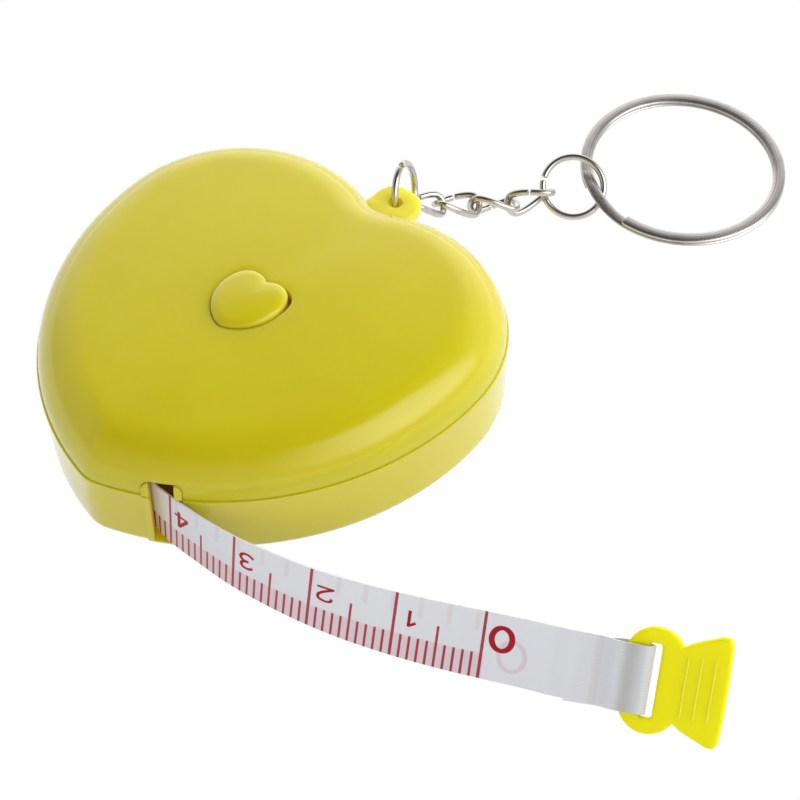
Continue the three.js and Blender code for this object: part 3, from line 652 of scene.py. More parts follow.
def drawn_metal(name, group, tint, gloss, centre, axis):
    """Plated flat wire with drawing lines round a centre.

    Its shine spreads across the wire. The lines are noise of the distance from the centre and of the
    height along the axis."""
    material = metal(name, group, tint, gloss)
    w = Wiring(material.node_tree)
    shader = material.node_tree.nodes["Principled BSDF"]
    spoke = w.vector("SUBTRACT", w.place(), tuple(centre))["Vector"]
    tangent = w.node(
        "ShaderNodeVectorTransform", spoke, vector_type="VECTOR", convert_from="OBJECT", convert_to="WORLD"
    )
    w.feed(shader.inputs["Tangent"], tangent.outputs[0])
    w.feed(shader.inputs["Anisotropic"], 0.8)
    away = w.vector("LENGTH", spoke)["Value"]
    height = w.vector("DOT_PRODUCT", spoke, tuple(axis))["Value"]
    spot = w.node("ShaderNodeCombineXYZ", away, height).outputs[0]
    lines = w.remap(w.noise(spot, 6000.0, 3.0), 0.42, 0.68)
    bright = shader.inputs["Base Color"].links[0].from_socket
    dull = tuple(0.55 * value for value in tint[:3]) + (1.0,)
    w.feed(shader.inputs["Base Color"], w.mix(lines, bright, dull))
    return material


def tape_material(looks, group):
    """Coated cloth tape: its colour is the cloth's, changed in turn by a share of each mask, one of them a
    band of painted shade.
    """
    material, w, shader = new_material("Tape")
    node = w.node("ShaderNodeGroup", node_tree=group)
    tint, ink = tuple(looks.tape), tuple(looks.ink)
    layers = (
        ("Weave", 0.12, srgb(205, 205, 212)), ("Thread", 0.3, srgb(206, 206, 212)),
        # The grey band beside the tab is painted shade.
        ("Weld", 0.75, srgb(176, 177, 172)), ("Tint", 0.26, srgb(214, 120, 140)),
        ("Ghost", 0.1, ink), ("Ink", 0.96, ink),
    )
    for label, share, layer in layers:
        tint = w.mix(w.math("MULTIPLY", node.outputs[label], share), tint, layer)
    w.feed(shader.inputs["Base Color"], tint)
    shader.inputs["Roughness"].default_value = 0.42
    w.feed(shader.inputs["Normal"], w.bump(node.outputs["Weave"], 0.12, 0.03 * MM))
    return material


def ink_material(name, tint, speckle):
    """Printing ink on the cloth, with a share of lighter specks."""
    material, w, shader = new_material(name)
    lighter = tuple(min(1.0, value * 1.3 + 0.006) for value in tint[:3]) + (1.0,)
    share = w.math("MULTIPLY", w.noise(w.place(), 3000.0, 2.0), speckle)
    w.feed(shader.inputs["Base Color"], w.mix(share, tuple(tint), lighter))
    set_plain(shader, {"Roughness": 0.45, "Specular IOR Level": 0.25})
    return material


def shared():
    """Materials and groups that several pieces use, made once."""
    if "materials" not in STORE:
        looks = bpy.context.scene.tm_looks
        moulded, plated = moulded_group(), plated_group()
        shell, deep, tab, inside, chrome = (
            tuple(getattr(looks, key)) for key in ("shell", "shell_deep", "tab", "inside", "metal")
        )
        lug, lug_deep, rib = srgb(248, 232, 78), srgb(240, 222, 48), srgb(244, 238, 62)
        STORE["materials"] = {
            "shell": plastic(
                "Yellow plastic", moulded, shell, deep, 0.32, coat=1.0, through=0.4, sheen=0.06
            ),
            # The inside of the shell has a painted glow: a warm emission standing in for light through the
            # plastic.
            "lined": lined(plastic("Yellow plastic inside", moulded, shell, deep, 0.45, through=0.4)),
            # The lug's paler yellow is painted light, standing in for light that comes through its thin
            # tongue.
            "lug": plastic("Lug", moulded, lug, lug_deep, 0.4, coat=0.1, through=0.5, sheen=0.2),
            "tab": plastic("Tab", moulded, tab, tab, 0.5, through=0.4),
            # The ribs' paler yellow is a painted highlight along each rib.
            "rib": plastic("Tab ribs", moulded, rib, rib, 0.5),
            "inside": plastic("Inner moulding", moulded, inside, srgb(208, 208, 200), 0.45),
            "plated": plated,
            "metal": metal("Plating", plated, chrome, 0.1),
            "spring": metal("Spring steel", plated, srgb(130, 134, 140), 0.25),
            "tape": tape_material(looks, scale_group()),
            "ink": ink_material("Ink", looks.ink, 0.25),
            "ghost": ink_material("Ink from behind", srgb(222, 205, 212), 0.2),
        }
    return STORE["materials"]


# Tape

# Route, as the CAD source has it: x, y, z in millimetres and lean in degrees
RUN = [(-1.77, -18.4, 5.05, 0), (0.54, -20.15, 5.05, 0), (3.1, -21.5, 5.05, 0)]
ROUTE = [
    (5.87, -22.38, 5.05, 2), (8.77, -22.85, 5.07, 5), (13.7, -23.25, 5.35, 6), (18.7, -23.4, 5.7, 9),
    (23.7, -22.95, 5.9, 13), (28.6, -22.15, 6, 17), (33.45, -20.95, 6.08, 22), (38.2, -19.4, 6.1, 27),
    (42.85, -17.65, 6.1, 32), (47.45, -15.7, 6.05, 36), (51.7, -13.77, 5.88, 38),
]
TAPE_STEP = 0.2 * MM

# Tab's middle, its heading, dip and lean, and the distance from the zero line to the loop's end
TAB_POINT = np.array([64.33, -7.86, 5.42]) * MM
TAB_ANGLES = np.radians([25.4, -1.3, 40.3])
ZERO_TO_END = 19.0 * MM

# Doubled end, along the tape from the tab's middle: where its layers part, and the loop round the bar
FOLD_LEAD = 1.8 * MM
PART_FROM, PART_OVER = -6 * MM, 2.6 * MM
LAYER_GAP, LAYER_RISE = 0.11 * MM, 0.87 * MM
LOOP_FROM, LOOP_REACH, LOOP_RISE = -1.1 * MM, 0.95 * MM, 0.98 * MM
REAR_SLIP = 0.3 * MM

# Straight line on which the tape slides, and the stretch over which it gives
PULL = np.array([0.939, 0.344, 0.0])
GIVE_FROM = np.array([11.2, -23.05, 5.2]) * MM
GIVE_OVER = 53.8 * MM


def tab_axes():
    """Along the tape's end, across it, and out of its printed face."""
    heading, dip, lean = TAB_ANGLES
    along = np.array([math.cos(dip) * math.cos(heading), math.cos(dip) * math.sin(heading), math.sin(dip)])
    left = unit(np.array([-along[1], along[0], 0]))
    rise = np.cross(along, left)
    across = rise * math.cos(lean) + left * math.sin(lean)
    return along, across, np.cross(along, across)


def on_tab(points):
    """Points along, across and out of the tape's end, put in the shared frame."""
    return TAB_POINT + points @ np.stack(tab_axes())


def tape_line(sizes):
    """The tape's middle line with its lean in degrees.

    It runs from inside the mouth to the fold, round the bar and back. The layers of the fold part by half
    a cosine wave, and the loop is half an ellipse."""
    along, _, _ = tab_axes()
    lean = math.degrees(TAB_ANGLES[2])
    start = TAB_POINT - along * (sizes.fold + FOLD_LEAD)
    stations = np.array(RUN + ROUTE, dtype=float) * np.array([MM, MM, MM, 1])
    free = spline(np.concatenate([stations, [[*start, lean]]]), 400)
    t = np.linspace(-sizes.fold, LOOP_FROM, 120)
    lift = 0.5 - 0.5 * np.cos(np.clip((t - PART_FROM) / PART_OVER, 0, 1) * math.pi)
    front = np.column_stack([t, np.zeros_like(t), LAYER_GAP + LAYER_RISE * lift])
    turn = np.linspace(math.pi / 2, -math.pi / 2, 40)[1:-1]
    loop = np.column_stack(
        [LOOP_FROM + LOOP_REACH * np.cos(turn), np.zeros_like(turn), LOOP_RISE * np.sin(turn)]
    )
    rear = front[::-1] * np.array([1, 1, -1])
    rear[:, 1] = np.linspace(0, -REAR_SLIP, len(rear))
    fold = on_tab(np.concatenate([front, loop, rear]))
    return np.concatenate([free, np.column_stack([fold, np.full(len(fold), lean)])])


def tape_frames(line):
    """Directions along and across the tape: across is upright, leaned over by the line's angle."""
    forward = unit(np.gradient(line[:, :3], axis=0))
    left = unit(np.stack([-forward[:, 1], forward[:, 0], np.zeros(len(line))], axis=-1))
    lean = np.radians(line[:, 3:])
    return forward, UP * np.cos(lean) + left * np.sin(lean)


def ribbon(stroke, half):
    """Flat stroke of a pen: a smooth line through points, widened to both sides, and its quads.

    It is a little wider where it runs upright. A stroke that ends where it begins is closed."""
    stroke = np.array(stroke, dtype=float)
    closed = np.allclose(stroke[0], stroke[-1])
    if closed:
        line = stroke[:-1]
        along = unit(np.roll(line, -1, axis=0) - np.roll(line, 1, axis=0))
    else:
        line = spline(stroke, 10 * len(stroke))
        along = unit(np.gradient(line, axis=0))
    aside = np.column_stack([-along[:, 1], along[:, 0]])
    aside = aside * half * (0.8 + 0.35 * np.abs(aside[:, :1]))
    points = np.stack([line - aside, line + aside], axis=1).reshape(-1, 2)
    return points, grid_faces(len(line), 2, closed, False)


def oval(width, height):
    """Closed pen stroke round an oval."""
    turn = np.linspace(0, 2 * math.pi, 65)
    return np.column_stack([width / 2 * np.cos(turn), height / 2 * np.sin(turn)])


# Pen strokes of the digits in a box one unit high, and half the pen's width
PEN = 0.085
DIGITS = {
    "0": [oval(0.76, 0.86)],
    "1": [[(0.08, -0.5), (0.08, 0), (0.08, 0.5)], [(0.1, 0.44), (-0.1, 0.34), (-0.32, 0.2)]],
    "2": [
        [(-0.46, 0.2), (-0.34, 0.4), (0, 0.46), (0.38, 0.36), (0.42, 0.12), (0.12, -0.14), (-0.5, -0.43)],
        [(-0.56, -0.43), (0, -0.43), (0.54, -0.43)],
    ],
    "3": [
        [(-0.36, 0.34), (-0.08, 0.46), (0.24, 0.42), (0.34, 0.24), (0.2, 0.06), (-0.1, 0.01)],
        [(-0.1, 0.01), (0.24, -0.02), (0.4, -0.2), (0.26, -0.41), (-0.06, -0.46), (-0.4, -0.32)],
    ],
    "4": [
        [(0.16, -0.5), (0.16, 0), (0.16, 0.5)],
        [(0.16, 0.46), (-0.14, 0.12), (-0.42, -0.2)],
        [(-0.46, -0.22), (0, -0.22), (0.46, -0.22)],
    ],
}


class TM_OT_tape(bpy.types.Operator):
    """Tape with its printed scale, from inside the mouth to the loop round the tab"""

    bl_idname = "tape_measure.tape"
    bl_label = "Tape"

    def execute(self, context):
        sizes = context.scene.tm_tape
        line, distance = evenly(tape_line(sizes), TAPE_STEP)
        bend = on_tab(np.array([[LOOP_FROM + LOOP_REACH, 0, 0]]))
        end_at = np.argmin(np.linalg.norm(line[:, :3] - bend, axis=1))
        self.zero = distance[end_at] - ZERO_TO_END
        tape = self.strip(sizes, line, distance, end_at)
        digits = self.scale_digits(sizes)
        give_to = GIVE_FROM + GIVE_OVER * unit(PULL)
        for obj in [tape, *digits]:
            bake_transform(obj)
        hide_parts("tape_free", "tape_end_fold", "tape_run")
        outside = line[: end_at + 1, :3]
        path = np.concatenate([outside[: -1 : max(1, len(outside) // 60)], outside[-1:]])
        total = float(np.linalg.norm(np.diff(path, axis=0), axis=1).sum())
        STORE["cord"] = {"tape": tape, "path": path, "length": total, "digits": digits}
        return {"FINISHED"}

    def strip(self, sizes, line, distance, end_at):
        """Strip with a front and a rear.

        Each point is the line's, plus a share of the width across and half the thickness out or in. On the
        doubled end, across is the tab's own direction. U is centimetres from the zero line. V is the
        share of the width, with 2 added on the rear, and the layer behind the loop counts as rear."""
        forward, across = tape_frames(line)
        settled = (distance > distance[end_at] - sizes.fold - 2 * MM)[:, None]
        across = unit(np.where(settled, tab_axes()[1], across))
        face = unit(np.cross(forward, across))
        half = sizes.thickness / 2
        self.surface = (distance, line[:, :3], across, face, half)
        share = np.linspace(-0.5, 0.5, 15)
        wide = across[:, None] * (share * sizes.width)[None, :, None]
        front = line[:, None, :3] + wide + face[:, None] * half
        grid = np.concatenate([front, front[:, ::-1] - face[:, None] * 2 * half], axis=1)
        rows, columns, _ = grid.shape
        u = np.repeat(((self.zero - distance) / (10 * MM))[:, None], columns, axis=1)
        v = np.concatenate([share + 0.5, (share + 0.5)[::-1] + 2])
        v = np.where((distance > distance[end_at])[:, None], 2.5, v[None])
        uv = np.stack([u, v], axis=-1).reshape(-1, 2)
        faces = np.concatenate([grid_faces(rows, columns, False, True), end_faces(rows, columns)])
        return add_mesh("tape", grid.reshape(-1, 3), faces, shared()["tape"], uv=uv)

    def scale_digits(self, sizes):
        """Digits beside their lines, larger towards the mouth, the zero, and the far side's zero."""
        ink, ghost = shared()["ink"], shared()["ghost"]
        grow = {1: 1.0, 2: 1.0, 3: 1.15, 4: 1.25}
        digits = [self.digit(str(n), n - 0.185, 0.64, sizes.digit * k, ink) for n, k in grow.items()]
        digits.append(self.digit("0", -0.205, 0.635, sizes.zero, ink, heavy=1.15))
        digits.append(self.digit("0", -0.335, 0.41, 1.27 * sizes.zero, ghost, heavy=0.75, lift=0.005))
        return digits

    def digit(self, text, at, height, size, material, heavy=1.0, lift=0.012):
        """Digit laid on the tape: its x runs towards the mouth and its top towards the lower edge.

        Each point is the line at its distance, shifted across the tape and lifted off its face."""
        flat, faces = zip(*[ribbon(stroke, PEN * heavy) for stroke in DIGITS[text]])
        starts = np.cumsum([0] + [len(points) for points in flat[:-1]])
        faces = np.concatenate([quads + start for quads, start in zip(faces, starts)])
        flat = np.concatenate(flat) * size
        distance, line, across, face, half = self.surface
        along = self.zero - (at * 10 * MM + flat[:, 0])
        line, across, face = (
            np.stack([np.interp(along, distance, values[:, k]) for k in range(3)], axis=-1)
            for values in (line, across, face)
        )
        shift = (height - 0.5) * bpy.context.scene.tm_tape.width - flat[:, 1]
        points = line + across * shift[:, None] + unit(face) * (half + lift * MM)
        mesh = bpy.data.meshes.new(f"digit_{text}")
        mesh.from_pydata(points.tolist(), [], faces.tolist())
        return add_object(f"digit_{text}", mesh, material, 40)


class TM_OT_tab(bpy.types.Operator):
    """Pull tab: eye with a slot, neck, and a ribbed, flared grip"""

    bl_idname = "tape_measure.tab"
    bl_label = "Pull tab"

    # In millimetres: thickness, rounding of the edges, and the ribs
    thick, edge = 1.02, 0.4
    rib_places = (3.55, 5.0, 6.5)
    rib_radius, rib_half, rib_height = 0.2, 3.3, 0.39

    def execute(self, context):
        tab = plate("tab", [self.outline(), self.slot_outline()], self.thick, self.edge, shared()["tab"])
        move(tab, on_tab)
        pieces = [tab, *(self.rib(x, side) for x in self.rib_places for side in (1, -1))]
        for obj in pieces:
            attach(obj, "tab")
        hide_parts("pull_tab")
        STORE["tab"] = pieces
        return {"FINISHED"}

    def outline(self):
        """Eye arcs, hollow necks and the flared grip with rounded corners, in millimetres."""
        eye = np.array([0.1, 2.55]) + polar(np.radians(np.linspace(180, 32, 60)), 3.3)
        neck = np.array([[2.9, 4.3], [3.25, 4.42], [3.7, 4.75], [4.3, 5.02]])
        flare = np.array([[4.4, 5.07], [5.4, 5.48], [6.3, 5.85], [6.95, 6.08]])
        corner = np.array([[7.55, 6.05], [7.95, 5.6], [8.1, 4.9], [8.2, 2.5], [8.22, 0]])
        grip = spline(np.concatenate([flare, corner]), 70)
        half = np.concatenate([eye, spline(neck, 14)[1:], grip])
        return np.concatenate([half, half[-2::-1] * np.array([1, -1])])

    def slot_outline(self):
        """Slot for the tape's loop: a quarter circle at each corner, in millimetres."""
        corner, count = 0.35, 7
        ends = np.array([[0.65, 4.05], [-0.75, 4.05], [-0.75, -4.05], [0.65, -4.05]])
        inward = np.array([[-1, -1], [1, -1], [1, 1], [-1, 1]]) * corner
        turns = np.radians(np.linspace(0, 90, count)) + np.radians([[0], [90], [180], [270]])
        return (ends + inward)[:, None].repeat(count, axis=1).reshape(-1, 2) + polar(turns.ravel(), corner)

    def rib(self, x, side):
        """Round bar across the grip, half sunk, with rounded ends."""
        y = np.linspace(-self.rib_half, self.rib_half, 40)
        path = np.column_stack([np.full_like(y, x), y, np.full_like(y, side * self.rib_height)])
        radius = self.rib_radius * MM
        section = circle(radius, 20) * np.array([1, 0.9])
        out = tab_axes()[2]
        # Its paler yellow material is a painted highlight.
        return tube("tab_rib", on_tab(path * MM), out, section, shared()["rib"], rounding=radius)


class TM_OT_case(bpy.types.Operator):
    """Upper and lower shell, lug and the tape mouth's jambs"""

    bl_idname = "tape_measure.case"
    bl_label = "Case"

    # Gap between the shells, how far the dome's foot stands in, and the rounding of the button hole
    seam, ledge, hole_round = 0.03 * MM, 0.2 * MM, 0.14 * MM

    def execute(self, context):
        s = context.scene.tm_case
        self.heart = heart_of(s)
        self.material = shared()["shell"]
        upper = self.upper(s)
        lower = self.lower(s)
        lug = self.lug(s)
        for obj in (upper, lower, lug):
            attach(obj, "case")
        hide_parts("upper_shell")
        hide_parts("lower_shell")
        return {"FINISHED"}

    def ring(self, inset, z):
        """The case's heart moved in by an inset, at a height."""
        return flat_ring(heart_outline(self.heart, inset), z)

    def dome(self, s, grow=0.0):
        """Edge of the dome: a quarter ellipse that stops where its slope is that of the crown."""
        base = s.parting + self.seam
        rise = s.parting + s.dome_rise - base
        rings = []
        for angle in np.radians(np.linspace(0, 87, 30)):
            inset = self.ledge + s.dome_reach * (1 - math.cos(angle)) - grow
            rings.append(self.ring(inset, base + rise * math.sin(angle)))
        return rings

    def upper(self, s):
        """Upper shell: dome, crown, button hole with a rounded edge, the inside and the lip's step.

        The crown runs straight from the dome's edge to the hole, and rises by a parabola."""
        foot_inset, lip, lip_height, inner_wall = 0.26 * MM, 0.7 * MM, 1.4 * MM, 1.5 * MM
        base = s.parting + self.seam
        top = s.parting + s.dome_rise
        rings = [self.ring(foot_inset, base), *self.dome(s)]
        edge = rings[-1]
        rim = flat_ring(self.button_hole(s, s.button_gap + self.hole_round), 0)
        for share in np.linspace(0.04, 1, 16):
            ring = edge + (rim - edge) * share
            ring[:, 2] = top + s.crown * (1 - (1 - 0.8 * share) ** 2)
            rings.append(ring)
        level = rings[-1][0, 2]
        edge_angles = np.radians((22, 45, 68, 90))
        hidden_from = len(rings) + len(edge_angles) - 1
        for angle in edge_angles:
            out = s.button_gap + self.hole_round * (1 - math.sin(angle))
            drop = self.hole_round * (1 - math.cos(angle))
            rings.append(flat_ring(self.button_hole(s, out), level - drop))
        rings.append(flat_ring(self.button_hole(s, s.button_gap), level - s.roof))
        rings.append(self.ring(self.ledge + s.dome_reach, top - s.roof))
        for angle in np.radians(np.linspace(80, 18, 6)):
            inset = self.ledge + s.dome_reach - (s.dome_reach - inner_wall) * math.cos(angle)
            rings.append(self.ring(inset, base + (s.dome_rise - s.roof) * math.sin(angle)))
        rings += [self.ring(lip, base + lip_height), self.ring(lip, base)]
        shell = loft("upper_shell_form", rings, self.material, wrap=True, smooth=SHELL_CREASE)
        self.line(shell, len(rings[0]), hidden_from, len(rings) - 2)
        combine(shell, self.frame(s, 0.04 * MM), "DIFFERENCE")
        return shell

    def line(self, shell, columns, first, last):
        """Gives the faces between two rings of a shell the inside material, with its painted warm glow."""
        shell.data.materials.append(shared()["lined"])
        ring = np.arange(len(shell.data.polygons)) // columns
        inside = (ring >= first) & (ring < last)
        shell.data.polygons.foreach_set("material_index", inside.astype(np.int32))

    def button_hole(self, s, out):
        """Button's heart moved out, with a bulge beside its right lobe, a bell curve of the angle."""
        bulge_angle, bulge_width = 0.62, 0.42
        outline = heart_outline(button_heart(), -out)
        angle = np.arctan2(outline[:, 1] - BUTTON_MIDDLE, outline[:, 0])
        bulge = (s.lobe_gap - s.button_gap) * np.exp(-(((angle - bulge_angle) / bulge_width) ** 2))
        return outline + polar(angle, 1) * bulge[:, None]

    def wall(self, s, grow=0.0):
        """Outside of the lower shell: rounded foot, drafted wall and the rim that stands out at the top."""
        angles = np.radians(np.linspace(0, 90, 10))
        foot = np.column_stack([s.draft + s.foot * (1 - np.sin(angles)), s.foot * (1 - np.cos(angles))])
        draft = np.array([[0.4, 3.0], [0.3, 5.6], [0.2, 8.2], [0.17, 8.38]]) * MM
        rim = np.array([[0.06, 8.5], [0, 8.6], [0, 8.78], [0.04, 8.87], [0.14, 8.9]]) * MM
        return [self.ring(inset - grow, z) for inset, z in np.concatenate([foot, draft, rim])]

    def lower(self, s):
        """Lower shell: the wall, the lip and the inside, with the jambs joined on and the slot cut out."""
        inside = np.array([[0.9, 8.9], [0.9, 10.1], [1.6, 10.1], [1.6, 8.9], [2.1, 1.8], [2.9, 1.0]]) * MM
        rings = self.wall(s) + [self.ring(inset, z) for inset, z in inside]
        shell = loft("lower_shell_form", rings, self.material, smooth=SHELL_CREASE)
        proud = 0.25 * MM
        envelope = loft("envelope", self.wall(s, proud) + self.dome(s, proud), self.material)
        jambs = self.frame(s, 0)
        combine(jambs, envelope, "INTERSECT")
        combine(shell, jambs, "UNION")
        combine(shell, self.slot(), "DIFFERENCE")
        return shell

    def mouth(self):
        """Place of the mouth on the long side, with its directions along the wall and out of it."""
        angle = math.radians(-61.5)
        out = np.array([math.cos(angle), math.sin(angle)])
        along = np.array([-out[1], out[0]])
        return side_centre(self.heart) + out * self.heart["side_radius"], along, out

    def frame(self, s, gap):
        """Block of the two jambs: upright outline with round upper corners, pushed through the wall."""
        half, near, top, corner = 2.6 * MM + gap, 2.1 * MM + gap, s.parting + 1.9 * MM + gap, 1.0 * MM
        foot, deep, proud = 0.5 * MM, 2.1 * MM, 6 * MM
        right = np.array([near - corner, top - corner]) + polar(np.radians(np.linspace(0, 90, 12)), corner)
        left = np.array([corner - half, top - corner]) + polar(np.radians(np.linspace(90, 180, 12)), corner)
        shape = np.concatenate([[[-half, foot], [near, foot]], right, left])
        place, along, out = self.mouth()
        flat = place + shape[:, :1] * along
        ends = [flat - out * (deep + gap), flat + out * proud]
        return loft("mouth_block", [np.column_stack([end, shape[:, 1]]) for end in ends], self.material)

    def slot(self):
        """Slot for the tape, slanted along it, and narrower over the tape's upper edge."""
        place, along, out = self.mouth()
        rings = []
        for wider, z in ((0.9, 1.0), (0.9, 9.0), (0, 9.05), (0, 14)):
            corners = np.array([[-2.6, -4.0], [1.0 + wider, -4.0], [1.3 + wider, 1.6], [-1.4, 1.6]]) * MM
            plan = place + corners[:, :1] * along + corners[:, 1:] * out
            sides = [np.linspace(a, b, 8, endpoint=False) for a, b in zip(plan, np.roll(plan, -1, axis=0))]
            rings.append(flat_ring(np.concatenate(sides), z * MM))
        # The slot's cut faces take the painted glow, a warm emission standing in for light through the
        # plastic.
        return loft("slot", rings, shared()["lined"])

    def lug(self, s):
        """Tongue with a hole: its outline and the hole are joined by rounded edges.

        Round the tongue's centre, its front is a superellipse, and behind that its sides spread by a
        parabola as far as the root."""
        reach_out, half, hole_in, hole_radius = 5.1 * MM, 3 * MM, 2.7 * MM, 0.86 * MM
        buried, power, flare = 0.45 * MM, 2.6, 90
        edge, hole_edge, low, thick = 0.35 * MM, 0.1 * MM, s.parting + 0.1 * MM, 1.5 * MM
        cleft = cleft_centre(self.heart) - self.heart["cleft_radius"]
        end = cleft + reach_out
        centre, hole = np.array([0, end - half]), np.array([0, end - hole_in])
        angles = np.linspace(0, 2 * math.pi, 160, endpoint=False)
        across, ahead = np.abs(np.cos(angles)), np.sin(angles)
        tip = half / (across**power + np.abs(ahead) ** power) ** (1 / power)
        spread = np.sqrt(np.maximum(across**2 - 4 * flare * half * ahead**2, 0))
        side = 2 * half / np.maximum(across + spread, 1e-3)
        back = (centre[1] - (cleft - buried)) / np.maximum(-ahead, 1e-6)
        reach = np.where(ahead >= 0, tip, np.minimum(side, back))

        def height(angle, radius):
            """Height on the rounded edges: a straight stretch between two quarter circles."""
            straight = (thick / 2 - radius) * np.sign(round(angle, 6))
            return low + thick / 2 + straight + radius * math.sin(angle)

        rings = []
        for angle in np.radians(np.linspace(-90, 90, 9)):
            inset = edge * (1 - math.cos(angle))
            outline = centre + polar(angles, 1) * (reach - inset)[:, None]
            rings.append(flat_ring(outline, height(angle, edge)))
        for angle in np.radians(np.linspace(90, -90, 9)):
            out = hole_edge * (1 - math.cos(angle))
            rings.append(flat_ring(hole + polar(angles, hole_radius + out), height(angle, hole_edge)))
        # Its paler yellow material is painted light through the thin tongue.
        return loft("lug", rings, shared()["lug"], wrap=True)


class TM_OT_button(bpy.types.Operator):
    """Heart-shaped release button"""

    bl_idname = "tape_measure.button"
    bl_label = "Release button"

    def execute(self, context):
        s = context.scene.tm_case
        button = self.button(s)
        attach(button, "button")
        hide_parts("release_button")
        return {"FINISHED"}

    def button(self, s):
        """Flange under the roof, upright wall, edge rounded by part of an ellipse, and a low domed top."""
        flange, flange_low, flange_high = 1 * MM, 12.55 * MM, 13.3 * MM
        edge, edge_drop, crown = 1.5 * MM, 0.22 * MM, 0.12 * MM
        heart = button_heart()
        foot = s.parting + s.dome_rise + s.crown + 0.1 * MM
        rings = [flat_ring(heart_outline(heart, -flange), z) for z in (flange_low, flange_high)]
        rings += [flat_ring(heart_outline(heart, 0), z) for z in np.linspace(flange_high, foot, 6)]
        for angle in np.radians(np.linspace(6, 80, 18)):
            inset = edge * (1 - math.cos(angle))
            z = foot + (s.button_rise - edge_drop) * math.sin(angle)
            rings.append(flat_ring(heart_outline(heart, inset), z))
        last = rings[-1].copy()
        middle = np.array([0, BUTTON_MIDDLE, 0])
        for scale in np.linspace(0.92, 0.03, 14):
            ring = (last - middle) * np.array([scale, scale, 1]) + middle
            ring[:, 2] = last[0, 2] + crown * (1 - scale**2)
            rings.append(ring)
        return loft("button", rings, shared()["shell"])


# Key chain as it lies: azimuth, slope and roll of each piece in degrees
LUG_RING_AIM = (24.4, 10.5, 0)
LINK_AIMS = ((74.9, -26.8, 2.3), (55.5, -18.4, -4.9), (47.4, -8.4, -50.7), (55.9, 6.3, 100.5))
JUMP_RING_AIM = (52.7, 6, 34.4)
KEY_RING_AIM = (11.7, -4.8, 0)

# The lug's hole, where it and the first link sit on the lug ring, the wires' ends, and the key ring's
# direction and play
LUG_HOLE_OUT, LUG_HOLE_HEIGHT = 2.4 * MM, 9.75 * MM
LUG_ANGLE, LINK_ANGLE = 164.5, -75
LUG_RING_GAP, JUMP_RING_GAP = (70, 84), (145, 155)
KEY_RING_AZIMUTH = 54.8
HOOK_PLAY, KEY_RING_PLAY = 0.28 * MM, 0.44 * MM


def aim_axes(azimuth, slope, roll):
    """Axes of a chain piece: turned by azimuth, then slope, then roll."""
    turn = (
        Matrix.Rotation(math.radians(azimuth), 3, "Z")
        @ Matrix.Rotation(-math.radians(slope), 3, "Y")
        @ Matrix.Rotation(math.radians(roll), 3, "X")
    )
    return np.array(turn).T


